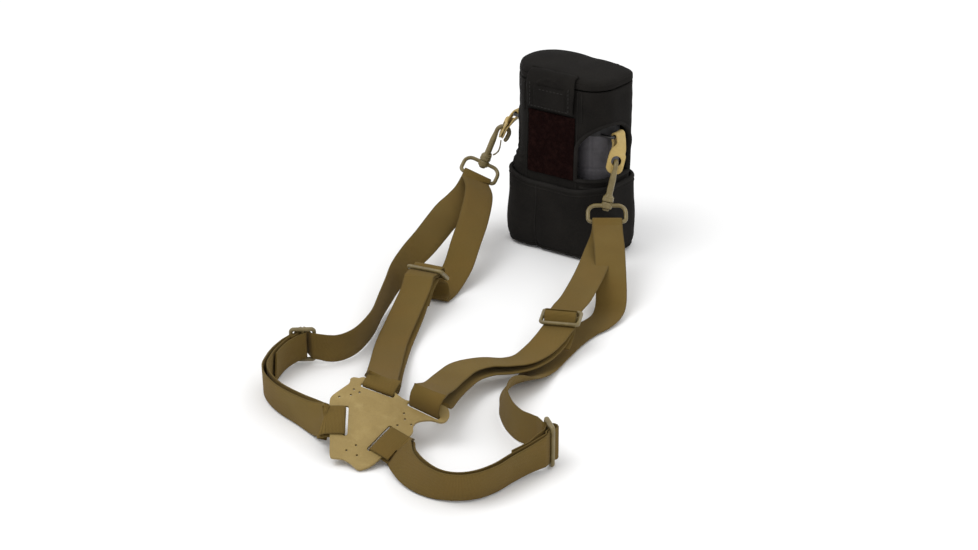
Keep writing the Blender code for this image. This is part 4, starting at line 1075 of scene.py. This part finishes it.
def hook_piece(side):
    """The snap hook: collar, shank, bow and nose in one moulding, its leaf gate and the rivet."""
    nose, face, lift = hook_axes(side)
    matrix = frame_matrix(Vector(RINGS[side][0]), nose, face, lift)
    foot = 6.4
    path = [vec(0, 0, foot + i * (HOOK_TOP - foot) / 14) for i in range(14)]
    for i in range(17):
        a = math.radians(180 - 11.25 * i)
        path.append(vec(HOOK_BOW + HOOK_BOW * math.cos(a), 0, HOOK_TOP + HOOK_BOW * math.sin(a)))
    for inwards, z in ((0.1, -2.0), (0.3, -4.2), (0.9, -6.2), (1.4, -7.3)):
        path.append(vec(2 * HOOK_BOW - inwards, 0, HOOK_TOP + z))
    thick = [HOOK_R + (SHANK_R - HOOK_R) * (1 - ease(22, 32, p.z)) * (1 - ease(3, 6, p.x)) for p in path]
    thick[-1] *= 0.62
    thick[-2] *= 0.9
    parts = [tube(moved(path, matrix), thick, thick, sides=18)]
    for low, high, less in ((3.3, 5.2, 0), (5.0, 5.9, 0.8), (5.7, 7.7, 0.2), (7.5, 9.0, 1.2)):
        parts.append(rod(matrix @ vec(0, 0, low), matrix @ vec(0, 0, high), COLLAR_R - less))
    parts.append(rod(matrix @ vec(1.2, 0, 8.2), matrix @ vec(4.2, 0, 8.9), 1.9))
    obj = moulded("snap_hook_" + side, parts, FINISHES["plastic"])
    keep(obj, "hook_" + side, "olive_plastic", "hook_" + side)
    leaf = (
        (5.0, 9.9), (6.4, 11.3), (7.4, 12.9), (7.95, 14.8), (8.15, 16.8), (7.95, 19.0), (7.55, 21.4),
        (7.0, 23.6), (6.6, 25.0),
    )
    spine = moved([vec(x, 0, z) for x, z in leaf], matrix)
    parts = [tube(spine, 1.55, 0.62, matrix.to_3x3() @ vec(0, 1, 0), sides=14)]
    for z in (14.6, 15.9, 17.2, 18.5):
        rib = moved([vec(8.45, -1.3, z), vec(8.5, 0, z), vec(8.45, 1.3, z)], matrix)
        parts.append(tube(rib, 0.35, 0.35, sides=8))
    obj = moulded("snap_gate_" + side, parts, FINISHES["plastic"], GATE_FINE, 3)
    keep(obj, "gate_" + side, "olive_plastic", "gate_" + side)
    parts = [rod(matrix @ vec(0, 0, -4.2), matrix @ vec(0, 0, -2.9), 2.9)]
    parts.append(rod(matrix @ vec(0, 0, -4.7), matrix @ vec(0, 0, -4.1), 1.9, 24, 2.6))
    obj = moulded("swivel_rivet_" + side, parts, FINISHES["plastic"], GATE_FINE, 4)
    keep(obj, "hook_" + side, "olive_plastic", "rivet_" + side)


def cut(obj, *meshes):
    """Boolean cuts, with each cutter given in millimetres."""
    for i, mesh in enumerate(meshes):
        tool = object_of(f"cut_{obj.name}_{i}", mesh)
        step = obj.modifiers.new("cut", "BOOLEAN")
        step.operation = "DIFFERENCE"
        step.object = tool
        step.solver = "EXACT"
        applied(obj)
        bpy.data.objects.remove(tool, do_unlink=True)


def tab_piece(side):
    """The tab: a strip folded round the lug's bar, with both its ends hanging to the hook's hole."""
    sign = 1 if side == "right" else -1
    nose, _, lift = (world(v) for v in hook_axes(side))
    top = world(RINGS[side][0])
    hole = top + lift * (HOOK_TOP + HOOK_BOW) + nose * HOOK_BOW
    lug = vec(sign * LUG_X, LUG_Y, LUG_Z)
    along_bar = vec(0, 1, 0)
    down = hole - lug
    down = (down - down.dot(along_bar) * along_bar).normalized()
    knee = lug + down * 9
    last = hole - knee
    last = (last - last.dot(nose) * nose).normalized()
    across = last.cross(nose).normalized()
    if across.dot(along_bar) < 0:
        across = -across
    slant = (hole - knee).normalized()
    # Middle of the folded strip, the way it runs, its share of the twist, and half its gap and its width.
    centre = [
        (lug + down * 3.5, down, 0.0, 2.6, 6.0),
        (lug + down * 6.5, down, 0.04, 2.4, 6.0),
        (knee.lerp(hole, 0.16), slant, 0.3, 2.2, 6.1),
        (knee.lerp(hole, 0.40), slant, 0.65, 1.7, 6.4),
        (hole - last * 5, last, 1.0, 1.15, 7.2),
    ]
    for beyond, half in ((5, 7.2), (7.5, 6.8), (9.0, 5.8), (10.1, 4.6), (10.7, 3.2), (11.0, 1.6)):
        centre.append((hole + last * beyond, last, 1.0, 1.1, half))
    front, back = [], []
    for p, heading, twist, off, half in centre:
        width = along_bar.lerp(across, twist)
        width = (width - width.dot(heading) * heading).normalized()
        out = width.cross(heading)
        front.append((p + out * off, width * half))
        back.append((p - out * off, width * half))
    out = along_bar.cross(down)
    bend, bend_r = [], 2.7
    for i in range(13):
        a = math.radians(15 * i)
        bend.append((lug + out * bend_r * math.cos(a) - down * bend_r * math.sin(a), along_bar * 6.0))
    path = through([*front[::-1], bend[0]], 1.6)[:-1] + bend + through([bend[-1], *back], 1.6)[1:]
    mesh, run = band(path, 1.5, Vector)
    obj = object_of("leather_tab_" + side, shaped(mesh, 50), FINISHES["tab"])
    cut(obj, rod(hole - nose * 7, hole + nose * 7, 4.4, 40))
    shaped(obj.data, 45)
    keep(obj, "harness", "coyote_leather", "tab_" + side)


def smooth_outline(points):
    """A closed outline rounded through its corner points."""
    n = len(points)
    found = []
    for i in range(n):
        p = [vec(*points[(i + k) % n]) for k in (-1, 0, 1, 2)]
        count = max(2, round((p[2] - p[1]).length / 1.5))
        found += [spline(p, k / count) for k in range(count)]
    return found


def slab(outline, thickness, matrix):
    """A flat plate of this outline, placed by the matrix."""
    outline = [Vector(p).to_3d() for p in outline]
    n = len(outline)
    verts = [p + vec(0, 0, z) for z in (-thickness / 2, thickness / 2) for p in outline]
    faces = [tuple(range(n))[::-1], tuple(range(n, 2 * n))]
    faces += [(i, (i + 1) % n, n + (i + 1) % n, n + i) for i in range(n)]
    return outward(mesh_from(verts, faces), matrix)


def plate_piece():
    up_slope, off_plate = on_plate(0, 1) - on_plate(0, 0), on_plate(0, 0, 1) - on_plate(0, 0)
    matrix = frame_matrix(on_plate(0, 0), (1, 0, 0), up_slope, off_plate)
    outline = slab(smooth_outline(PLATE_OUTLINE), PLATE_THICK, matrix)
    obj = object_of("leather_back_plate", outline, FINISHES["plate"])
    cutters = []
    for (a, v), (oa, ov), _ in SLOTS.values():
        turn = Matrix.Translation((a, v, 0)) @ Matrix.Rotation(math.atan2(ov, oa), 4, "Z")
        cutters.append(slab(rounded(1.9, 13.6, 1.8, 6), PLATE_THICK * 3, matrix @ turn))
    for a, v in PLATE_HOLES:
        cutters.append(rod(matrix @ vec(a, v, -4), matrix @ vec(a, v, 4), 0.85, 20))
    cut(obj, *cutters)
    edge = obj.modifiers.new("edge", "BEVEL")
    edge.width = 0.00045
    edge.segments = 3
    edge.limit_method = "ANGLE"
    edge.angle_limit = math.radians(50)
    applied(obj)
    shaped(obj.data, 40)
    keep(obj, "harness", "coyote_leather", "back_plate")


# ---------------------------------------------------------------- the cover


def on_skin(x_side, u, z, off=0.0):
    """A point on the sleeve's outer skin in a window's own plane: u across the window, z up."""
    turn = math.radians(90 - WINDOW_TURN[x_side])
    across = vec(math.cos(turn), math.sin(turn))
    out = vec(math.sin(turn), -math.cos(turn))
    start = across * (WINDOW_ALONG[x_side] + u)
    low, high = 0.0, 90.0
    for _ in range(40):
        middle = (low + high) / 2
        p = start + out * middle
        if inside(p.x, p.y):
            low = middle
        else:
            high = middle
    p = start + out * (low + off)
    return vec(x_side * p.x, p.y, z)


def inside(x, y):
    """Whether a point lies inside the sleeve's outline."""
    dx = max(0.0, abs(x) - (SLEEVE_X - SLEEVE_CORNER))
    dy = max(0.0, abs(y) - (SLEEVE_Y - SLEEVE_CORNER))
    return math.hypot(dx, dy) < SLEEVE_CORNER


def arch_points():
    """A window's outline in its own plane: straight foot and sides under an arch."""
    found = [(-WINDOW_HALF + i * WINDOW_HALF * 2 / 16, WINDOW_LOW) for i in range(16)]
    found += [(WINDOW_HALF, WINDOW_LOW + i * (WINDOW_SPRING - WINDOW_LOW) / 9) for i in range(9)]
    for i in range(37):
        a = math.radians(5 * i)
        found.append((WINDOW_HALF * math.cos(a), WINDOW_SPRING + (WINDOW_HALF - 2) * math.sin(a)))
    found += [(-WINDOW_HALF, WINDOW_SPRING - i * (WINDOW_SPRING - WINDOW_LOW) / 9) for i in range(1, 9)]
    return found


def relaxed(obj, move):
    """Moves each of the mesh's points, in millimetres."""
    for vertex in obj.data.vertices:
        vertex.co = move(vertex.co * 1000) * 0.001


def rim_height(x, y):
    """How far the cup's rim stands below its corners: it dips in the front and a little in the back."""
    return -4.2 * ease(6, 34, -y) * (1 - ease(18, 50, abs(x))) - 1.2 * ease(10, 34, y)


def cup_piece():
    """The stretched cup: floor, swelling wall with a turned rim, one binding and its seams."""
    rings = [ring_of(CUP, 0.4, inset, 0.62, 0.5) for inset in (45, 30, 18, 9)]
    foot = ((5.0, 0.6), (3.4, 1.2), (2.0, 2.4), (1.0, 4.4), (0.3, 7.0), (0.0, 10.0))
    rings += [ring_of(CUP, z, inset) for inset, z in foot]
    levels = [10 + i * (CUP_TOP - 12.5) / 34 for i in range(1, 35)]
    levels.append(CUP_TOP - 1.2)
    rings += [ring_of(CUP, z) for z in levels]
    rings += [ring_of(CUP, CUP_TOP + z, inset) for inset, z in ((0.5, -0.3), (1.6, 0.2), (2.6, -0.3))]
    rings += [ring_of(CUP, z, WALL) for z in levels[::-1]]
    rings += [ring_of(CUP, FLOOR + 0.6, inset, 0.62, 0.5) for inset in (6, 12, 22, 34, 46)]
    front = []
    for i in range(60):
        z = 1.5 + i * 62.5 / 59
        front.append(vec(SEAM_X, -CUP_Y - 0.05 + 0.9 * (1 - ease(0, 7, z)) * 2, z))
    back = [vec(-p.x, -p.y, p.z) for p in front]
    under_rim = ring_of((CUP_X + 0.02, CUP_Y + 0.02, CUP_CORNER), CUP_TOP - 5.2)
    seams = [
        tube(front, 0.75, 0.5, RIGHT, sides=8),
        tube(back, 0.75, 0.5, RIGHT, sides=8),
        tube(ring_of(CUP, 2.9, 1.6), 0.9, 0.8, UP, True, 8),
        tube(ring_of(CUP, CUP_TOP - 1.6, 1.5), 2.1, 1.8, UP, True, 14),
        tube(under_rim, 0.5, 0.35, UP, True, 8),
    ]
    whole = merged(loft(rings, False), *seams, others=1)
    obj = object_of("neoprene_cup", whole, FINISHES["neoprene"], FINISHES["binding"])

    def move(p):
        x, y, z = p
        high = ease(20, 60, z)
        z += rim_height(x, y) * high
        out = vec(x / CUP_X, y / CUP_SPREAD_Y)
        out = out.normalized() if out.length > 0.2 else vec(0, 0)
        swell = 1.5 * math.sin(math.pi * min(1.0, z / 44)) * ease(1, 9, z) - 0.5 * ease(40, 62, z)
        crease = noise.noise(vec(x * 0.05, y * 0.05, z * 0.035) + vec(5.5, 1.2, 2.0))
        dent = -1.3 * math.exp(-((x - SEAM_X) / 2.6) ** 2) * (1 - ease(10, 30, z)) * ease(10, 30, -y)
        notch = 1.6 * math.exp(-((x - SEAM_X) / 3.2) ** 2) * (1 - ease(1, 8, z)) * ease(10, 30, -y)
        shift = out * (swell * 0.8 + 0.8 * crease * ease(3, 20, z) + dent)
        return vec(x, y, z + notch) + shift

    relaxed(obj, move)
    shaped(obj.data)
    keep(obj, "harness", "black_neoprene", "cover_cup", "cover_base")


def sleeve_piece():
    """The upper sleeve with its two arched openings, bound edges, gusset seams and a hem inside the cup."""
    levels = [SLEEVE_FOOT + i * (SLEEVE_TOP - 0.4 - SLEEVE_FOOT) / 36 for i in range(37)]
    inner = WALL - 0.4
    rings = [ring_of(SLEEVE, z, count=200) for z in levels]
    rings += [ring_of(SLEEVE, z, inner, count=200) for z in levels[::-1]]
    obj = object_of("neoprene_sleeve", loft(rings, True), FINISHES["neoprene"])
    prisms = []
    for sign in (-1, 1):
        upright = Matrix.Rotation(math.radians(90), 4, "X")
        facing = Matrix.Rotation(math.radians(90 - WINDOW_TURN[sign]), 4, "Z") @ upright
        place = Matrix.Diagonal((sign, 1, 1, 1)) @ facing @ Matrix.Translation((WINDOW_ALONG[sign], 0, 52))
        prisms.append(slab(arch_points(), 60, place))
    cut(obj, *prisms)
    remeshed(obj, 0.0013, 4)
    obj.data.materials.clear()
    extras = []
    for sign in (-1, 1):
        edge = spaced([on_skin(sign, u, z, -1.4) for u, z in arch_points()], 150)
        radial = [vec(p.x / SLEEVE_X, p.y / SLEEVE_Y).normalized() for p in edge]
        extras.append(tube(edge, 2.35, 1.9, radial, True, 14))
        low = [on_skin(sign, u, WINDOW_LOW - 5.4 - 1.2 * math.cos(u / 20), 0.1) for u in range(-24, 27, 2)]
        extras.append(tube(low, 1.5, 0.9, UP, sides=10))
        # The gusset's seams: one up the whole front, and a short one beside it at the top.
        for x, z, rise, steps in ((25.6, 56, 94, 60), (29.6, 124, 26, 20)):
            dx = max(0.0, x - (SLEEVE_X - SLEEVE_CORNER))
            y = -(SLEEVE_Y - SLEEVE_CORNER + math.sqrt(SLEEVE_CORNER ** 2 - dx ** 2))
            line = [vec(sign * x, y - 0.1, z + i * rise / steps) for i in range(steps + 1)]
            extras.append(tube(line, 0.7, 0.5, RIGHT, sides=8))
    enlarged(obj, (FINISHES["neoprene"], FINISHES["binding"]), *extras)
    relaxed(obj, sleeve_sag)
    shaped(obj.data)
    keep(obj, "harness", "black_neoprene", "cover_sleeve")


def sleeve_sag(p):
    """Where a point of the even sleeve ends up in the used one, with its folds, waist and tucked corner."""
    x, y, z = p
    free = ease(CUP_TOP - 2, 90, z)
    out = vec(x / SLEEVE_X, y / SLEEVE_Y).normalized()
    slack = noise.noise(vec(x, y, z) * 0.022 + vec(3.1, 0.4, 7.7))
    fine = noise.noise(vec(x, y, z * 2.0) * 0.055 + vec(1.7, 9.2, 0.3))
    push = (0.7 + 0.9 * slack + 0.5 * fine) * free
    if x < -30:
        push += 0.9 * math.exp(-((z - 74) / 5.0) ** 2)
        push += 0.6 * math.sin(z * 1.1) * math.exp(-((z - 80) / 8.0) ** 2)
    waist = -0.5 * math.exp(-((z - 112) / 16.0) ** 2) * ease(10, 28, -y) * (1 - ease(14, 30, abs(x)))
    tuck = TUCK * ease(66, 90, z) * math.exp(-((x - TUCK_X) / 15) ** 2 - ((y - TUCK_Y) / 16) ** 2)
    return vec(x + LEAN * ease(70, 120, z) + 0.81 * tuck, y + 0.59 * tuck, z) + out * (push + waist)


def puffed(obj):
    """Remeshed and swollen by a short cloth run under pressure, no point moving further than PUFF_REACH."""
    remeshed(obj, PUFF_VOXEL, 2)
    rest = [v.co.copy() for v in obj.data.vertices]
    step = obj.modifiers.new("cloth", "CLOTH")
    step.settings.use_pressure = True
    step.settings.uniform_pressure_force = PUFF_PRESSURE
    step.settings.effector_weights.gravity = 0.0
    step.settings.quality = 6
    step.point_cache.frame_start = 1
    step.point_cache.frame_end = PUFF_FRAMES
    for number in range(1, PUFF_FRAMES + 1):
        bpy.context.scene.frame_set(number)
    graph = bpy.context.evaluated_depsgraph_get()
    swollen = obj.evaluated_get(graph).data
    moved_to = [v.co.copy() for v in swollen.vertices]
    obj.modifiers.clear()
    bpy.context.scene.frame_set(1)
    for vertex, start, end in zip(obj.data.vertices, rest, moved_to):
        move = end - start
        if move.length > PUFF_REACH:
            move *= PUFF_REACH / move.length
        vertex.co = start + move
    more = obj.modifiers.new("finer", "SUBSURF")
    more.levels = more.render_levels = 1
    applied(obj)


def lid_piece():
    """The padded lid: a pad swollen by cloth pressure above a short wall, flush with the sleeve's."""
    rings = [ring_of(SLEEVE, SLEEVE_TOP + 1.4, inset, 0.62, 0.5) for inset in (44, 30, 18, 9)]
    for inset, z in (
        (3.0, 1.8), (2.0, 3.4), (1.4, 4.8), (-0.2, 5.8), (0.4, 7.4), (2.6, 8.8), (6, 9.8), (13, 10.4),
        (22, 10.8), (33, 11.0), (44, 11.0),
    ):
        rings.append(ring_of(SLEEVE, SLEEVE_TOP + z, inset, 0.62 if inset > 4 else 1, 0.5))
    obj = object_of("neoprene_lid", loft(rings, False), FINISHES["neoprene"])
    puffed(obj)

    def move(p):
        x, y, z = p
        crown = ease(SLEEVE_TOP + 4, LID_TOP, z)
        hump = 1.4 * math.exp(-((x + 38) / 13) ** 2 - ((y + 4) / 18) ** 2)
        z += crown * (hump - 2.2 * ease(-22, 40, x) + 0.5 * noise.noise(vec(x, y, 0) * 0.045))
        z -= crown * 0.7 * math.exp(-((x - 2) / 9) ** 2)
        reach = math.hypot(x / SLEEVE_X, y / SLEEVE_Y)
        if reach < 0.1:
            return vec(x, y, z)
        out = vec(x / SLEEVE_X, y / SLEEVE_Y).normalized() * 0.7 * ease(0.5, 0.9, reach)
        on_sleeve = sleeve_sag(vec(x, y, SLEEVE_TOP)).xy.to_3d()
        return vec(x, y).lerp(on_sleeve, ease(0.3, 0.85, reach)) + out + vec(0, 0, z)

    relaxed(obj, move)
    profile = ((0.7, 0.35), (0.0, 0.9), (0.0, 4.6), (0.5, 5.2), (1.5, 5.4), (3.0, 5.0), (3.0, 0.35))
    wall = [[sleeve_sag(p) for p in ring_of(SLEEVE, SLEEVE_TOP + z, inset)] for inset, z in profile]
    enlarged(obj, (FINISHES["neoprene"],), loft(wall, True))
    shaped(obj.data, 50)
    keep(obj, "lid", "black_neoprene", "cover_lid")


def grid_sheet(surface, columns, rows, thickness):
    """A closed curved sheet: surface(u, v) gives a point and its normal, for u in -1..1 and v in 0..1."""
    outer, under = [], []
    for j in range(rows + 1):
        for i in range(columns + 1):
            p, n = surface(-1 + 2 * i / columns, j / rows)
            edge = min(i, columns - i, j, rows - j)
            half = thickness / 2 * (0.45 if edge == 0 else 0.86 if edge == 1 else 1.0)
            outer.append(p + n * half)
            under.append(p - n * half)
    n_outer = len(outer)
    faces = []
    wide = columns + 1
    for j in range(rows):
        for i in range(columns):
            a = j * wide + i
            faces.append((a, a + 1, a + wide + 1, a + wide))
            b = a + n_outer
            faces.append((b, b + wide, b + wide + 1, b + 1))
    border = list(range(columns)) + [columns + j * wide for j in range(rows)]
    border += [rows * wide + columns - i for i in range(columns)] + [(rows - j) * wide for j in range(rows)]
    for a, b in zip(border, border[1:] + border[:1]):
        faces.append((b, a, a + n_outer, b + n_outer))
    return outward(mesh_from(outer + under, faces))


def flap_profile(v):
    """The closure flap from the lid's front edge down the front: (y, z) and its outward normal."""
    stations = [
        (-26.5, 161.6), (-30.0, 161.3), (-33.2, 159.2), (-34.9, 155.5), (-35.5, 150.5), (-35.6, 144.0),
        (-35.5, 137.0), (-35.2, 129.6),
    ]
    t = v * (len(stations) - 1)
    i = min(int(t), len(stations) - 2)
    p = [vec(0, *stations[max(0, min(len(stations) - 1, i + k))]) for k in (-1, 0, 1, 2)]
    here = spline(p, t - i)
    ahead = spline(p, min(1.0, t - i + 0.05)) - spline(p, max(0.0, t - i - 0.05))
    normal = ahead.cross(RIGHT).normalized()
    return here, -normal if normal.y > 0 else normal


def flap_piece():
    """The closure flap: a padded tab sewn to the lid, puckered over its stitched hook patch."""
    half = TAB_WIDE / 2

    def surface(u, v):
        here, normal = flap_profile(v)
        width = half * (1.03 - 0.02 * ease(0.75, 1.0, v) - 0.02 * math.sin(v * 9))
        x = u * width
        from_arch = (x / 14.0) ** 2 + ((here.z - 147.5) / 9.0) ** 2 - 1
        arch = math.exp(-(from_arch / 0.22) ** 2) * ease(146, 149, here.z)
        patch = ease(16.6, 15.4, abs(x)) * ease(131.0, 132.2, here.z) * ease(149.2, 148.0, here.z)
        groove = math.exp(-((abs(x) - 16.6) / 0.8) ** 2) * ease(130, 132, here.z) * ease(151, 148, here.z)
        shallow = math.exp(-((here.z - 149.8) / 1.6) ** 2) * ease(17, 13, abs(x))
        soft = 0.5 * noise.noise(vec(x, here.y, here.z) * 0.09)
        push = 0.9 * arch + 0.45 * patch - 0.55 * groove - 1.2 * shallow + soft - 0.5 * abs(u) ** 6
        return here + vec(x + LEAN, 0, 0) + normal * push, normal

    flap = grid_sheet(surface, 72, 60, 2.2)
    rows = [(vec(x + LEAN, -36.75, 131.5), vec(x + LEAN, -36.9, 153)) for x in (-19.6, 19.6)]
    rows.append((vec(-18.4, -36.6, 131.6), vec(20.0, -36.6, 131.6)))
    rows.append((vec(-14.0, -36.9, 147.2), vec(15.4, -36.9, 147.2)))
    whole = merged(flap, stitches(rows, vec(0, -1, 0)), others=1)
    obj = object_of("neoprene_closure_flap", whole, FINISHES["neoprene"], FINISHES["black_thread"])
    shaped(obj.data)
    keep(obj, "lid", "black_neoprene", "closure_tab")

    def hooks(u, v):
        return vec(u * 20 + LEAN, -33.55, 132.5 + 13.5 * v), vec(0, -1, 0)

    hook = object_of("closure_hook_tape", grid_sheet(hooks, 24, 10, 0.8), FINISHES["hook_tape"])
    shaped(hook.data)
    keep(hook, "lid", "loop_fleece", "closure_hook_patch")


def fleece_piece():
    """The brushed loop panel on the sleeve's front, lying in the sleeve's own folds."""
    def surface(u, v):
        x, z = u * 23.6, 70.6 + v * 56.2
        rough = 0.28 * noise.noise(vec(x, z, 2.0) * 0.5) + 0.35 * noise.noise(vec(x, z, 8.0) * 0.12)
        p = sleeve_sag(vec(x, -SLEEVE_Y - 0.95, z))
        return p + vec(0, -rough * (1 - abs(u) ** 8), 0), vec(0, -1, 0)

    panel = grid_sheet(surface, 90, 100, 1.3)
    obj = object_of("fleece_loop_panel", panel, FINISHES["fleece"])
    shaped(obj.data)
    keep(obj, "harness", "loop_fleece", "closure_loop_panel")


def lid_hinge():
    """The sewn back seam on which the lid turns: a soft binding between sleeve and lid, bowed a little
    outwards.
    """
    def surface(u, v):
        x = u * 24
        z = 146.5 + 11.0 * v
        y = SLEEVE_Y + 1.35 + 0.35 * math.sin(math.pi * v) + 0.15 * noise.noise(vec(x, z, 1.0) * 0.12)
        return vec(x + LEAN, y + 0.35, z), vec(0, 1, 0)

    obj = object_of("lid_hinge_binding", grid_sheet(surface, 40, 16, 1.2), FINISHES["binding"])
    shaped(obj.data)
    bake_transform(obj)


# ---------------------------------------------------------------- the binocular


def turned(profile, centre, sides, closed=False, knurl=None):
    """A turned shell of (radius, height) points, which run from axis to axis or round a closed section.

    knurl(angle, radius, height) is added to the radius.
    """
    rings = []
    for r, z in profile:
        ring = []
        for k in range(sides):
            a = 2 * math.pi * k / sides
            reach = max(0.01, r + (knurl(a, r, z) if knurl else 0.0))
            ring.append(vec(centre[0] + reach * math.cos(a), centre[1] + reach * math.sin(a), z))
        rings.append(ring)
    return loft(rings, closed)


def fine_profile(points, step=1.2):
    """The profile with its long stretches divided."""
    found = []
    for (r, z), (s, y) in zip(points, points[1:]):
        count = max(1, round(math.hypot(s - r, y - z) / step))
        found += [(r + (s - r) * k / count, z + (y - z) * k / count) for k in range(count)]
    return found + [points[-1]]


def barrel_piece(side):
    """One barrel: armour with panel grooves below, a smooth black collar above, and a ribbed grip outside."""
    sign = -1 if side == "left" else 1
    profile = [
        (0.0, 128.0), (16.0, 128.0), (16.6, 127.4), (17.0, 126.0), (17.0, 122.0), (19.6, 117.0),
        (20.0, 112.0), (20.0, 80.0), (19.6, 72.0), (20.0, 50.0), (21.4, 34.0), (22.0, 20.0), (22.2, 14.0),
        (22.2, 6.4), (21.6, 5.0), (20.6, 4.6), (19.8, 4.7), (19.6, 9.0), (0.0, 9.0),
    ]
    mesh = turned(fine_profile(profile), (sign * BARREL_X, 0), 120)
    obj = object_of("armoured_barrel_" + side, mesh, FINISHES["armour"], FINISHES["trim"])

    def move(p):
        x, y, z = p
        from_axis = vec(x - sign * BARREL_X, y)
        if from_axis.length < 12:
            return p.copy()
        angle = math.degrees(math.atan2(sign * from_axis.x, -from_axis.y))
        depth = 0.0
        for groove in (108.0, 97.0, 79.0):
            depth += 0.55 * math.exp(-((z - groove) / 0.7) ** 2)
        if 60 < z < 108:
            for groove in (22.0, 66.0, 110.0):
                depth += 0.6 * math.exp(-((angle - groove) / 1.8) ** 2)
        if 26 < z < 58:
            ribs = 0.45 * (0.5 + 0.5 * math.sin(z * 2.1))
            depth += ribs * ease(20, 40, angle) * (1 - ease(120, 150, angle))
        return p - from_axis.normalized() * min(depth, 0.8)

    relaxed(obj, move)
    for face in obj.data.polygons:
        face.material_index = 0 if 11 <= face.center.z * 1000 <= 108.2 else 1
    shaped(obj.data, 60)
    keep(obj, "harness", "grey_armour", "barrel_" + side)
    cup = [
        (12.9, 139.5), (13.4, 141.2), (14.6, 142.0), (17.4, 142.0), (18.4, 141.6), (18.8, 140.6),
        (18.4, 139.6), (18.8, 138.6), (18.4, 137.6), (18.8, 136.6), (18.4, 135.6), (18.8, 134.6),
        (18.8, 130.0), (18.2, 128.5), (14.0, 128.5), (13.9, 130.0),
    ]
    obj = object_of("rubber_eyecup_" + side, turned(cup, (sign * BARREL_X, 0), 96, True), FINISHES["trim"])
    shaped(obj.data, 50)
    keep(obj, "eyecup_" + side, "black_trim", "eyecup_" + side)


def wheel_piece():
    """The focus wheel with its knurled rubber tyre."""
    profile = [
        (0.0, 134.0), (8.4, 134.0), (9.1, 133.6), (9.3, 132.6), (9.3, 122.9), (9.1, 121.9), (8.4, 121.5),
        (0.0, 121.5),
    ]

    def knurl(angle, radius, z):
        if radius <= 9:
            return 0.0
        return 0.22 * math.cos(angle * 36) * ease(121.9, 123.4, z) * (1 - ease(132.1, 133.6, z))

    mesh = turned(fine_profile(profile, 0.9), WHEEL_AT, 144, knurl=knurl)
    obj = object_of("knurled_focus_wheel", mesh, FINISHES["trim"])
    shaped(obj.data, 60)
    keep(obj, "focus_wheel", "black_trim", "focus_wheel")


def hinge_piece():
    """The bridge between the barrels: its tube and two blocks round it."""
    parts = [rod(vec(0, HINGE_Y, 58), vec(0, HINGE_Y, 119), 4.6)]
    for low, high in ((62, 74), (98, 112)):
        middle = Matrix.Translation((0, HINGE_Y, (low + high) / 2))
        parts.append(slab(rounded(4.4, 7.0, 1.6, 5), high - low, middle))
    obj = moulded("bridge_hinge", parts, FINISHES["armour"], 0.0005, 3)
    keep(obj, "harness", "grey_armour", "hinge_tube")


def lug_piece(side):
    """The strap lug: a bar on two posts that stop just short of the barrel."""
    sign = 1 if side == "right" else -1
    half, turn = 8.6, 1.8
    short = 1.7
    start = BARREL_X + math.sqrt(BARREL_R ** 2 - (abs(LUG_Y) + half) ** 2) + short
    near = BARREL_X + math.sqrt(BARREL_R ** 2 - (half - abs(LUG_Y)) ** 2) + short
    points = [vec(start, LUG_Y - half)]
    for low in (-90, 0):
        y = LUG_Y - half + turn if low < 0 else LUG_Y + half - turn
        for i in range(9):
            a = math.radians(low + 11.25 * i)
            points.append(vec(LUG_X - turn + turn * math.cos(a), y + turn * math.sin(a)))
    points.append(vec(near, LUG_Y + half))
    points = [vec(sign * p.x, p.y, LUG_Z) for p in points]
    obj = object_of("lug_" + side, tube(points, 1.38, 1.38, sides=20), FINISHES["metal"])
    shaped(obj.data, 60)
    keep(obj, "harness", "dark_metal", "lug_bar_" + side)


# ---------------------------------------------------------------- build


camera_and_light()
FINISHES = {
    "webbing": webbing_finish(),
    "neoprene": neoprene_finish("black_neoprene", (0.0065, 0.0058, 0.0052), (0.0125, 0.0112, 0.0098), 1300.0),
    # The binding tape's own near-black, painted lighter than the neoprene as a highlight along the bound
    # edges and seams.
    "binding": neoprene_finish("bound_edge_painted_highlight", (0.0085, 0.0078, 0.0070), (0.018, 0.0165, 0.015), 2100.0),
    "fleece": fleece_finish("loop_fleece", (0.0036, 0.0012, 0.0011), (0.0125, 0.0043, 0.0038)),
    "hook_tape": fleece_finish("hook_tape", (0.006, 0.005, 0.005), (0.014, 0.012, 0.011)),
    "plate": leather_finish("coyote_plate", (0.250, 0.172, 0.050), (0.335, 0.238, 0.078), (0.42, 0.32, 0.13)),
    "tab": leather_finish("coyote_tab", (0.400, 0.275, 0.080), (0.520, 0.375, 0.130), (0.60, 0.46, 0.20)),
    "plastic": plastic_finish("olive_brass_plastic", (0.120, 0.088, 0.030), (0.190, 0.145, 0.055)),
    "armour": armour_finish("grey_armour", (0.050, 0.047, 0.053), (0.085, 0.080, 0.088)),
    "trim": armour_finish("black_trim", (0.010, 0.010, 0.011), (0.020, 0.019, 0.020)),
    "glass": glass_finish(),
    "metal": plastic_finish(
        "dark_metal", (0.040, 0.040, 0.042), (0.090, 0.088, 0.085), (0.25, 0.42), 1.0, 1500.0,
    ),
    "black_thread": thread_finish("black_thread", (0.012, 0.011, 0.010), (0.03, 0.028, 0.025)),
}
left_straps()
right_straps()
for strap_slider in SLIDERS.values():
    slider_piece(strap_slider)
for wing in ("left", "right"):
    ring_piece(wing)
    hook_piece(wing)
    tab_piece(wing)
    barrel_piece(wing)
    lug_piece(wing)
plate_piece()
cup_piece()
sleeve_piece()
lid_piece()
flap_piece()
fleece_piece()
lid_hinge()
wheel_piece()
hinge_piece()
# These CAD pieces stay as they are, with a finish of their own.
KEPT = {f"{lens}_lens_{wing}": "glass" for lens in ("objective", "eyepiece") for wing in ("left", "right")}
KEPT.update(hinge_cap="trim", focus_axle="trim")
for node, finish in KEPT.items():
    frame["nodes"][node].data.materials.clear()
    frame["nodes"][node].data.materials.append(FINISHES[finish])
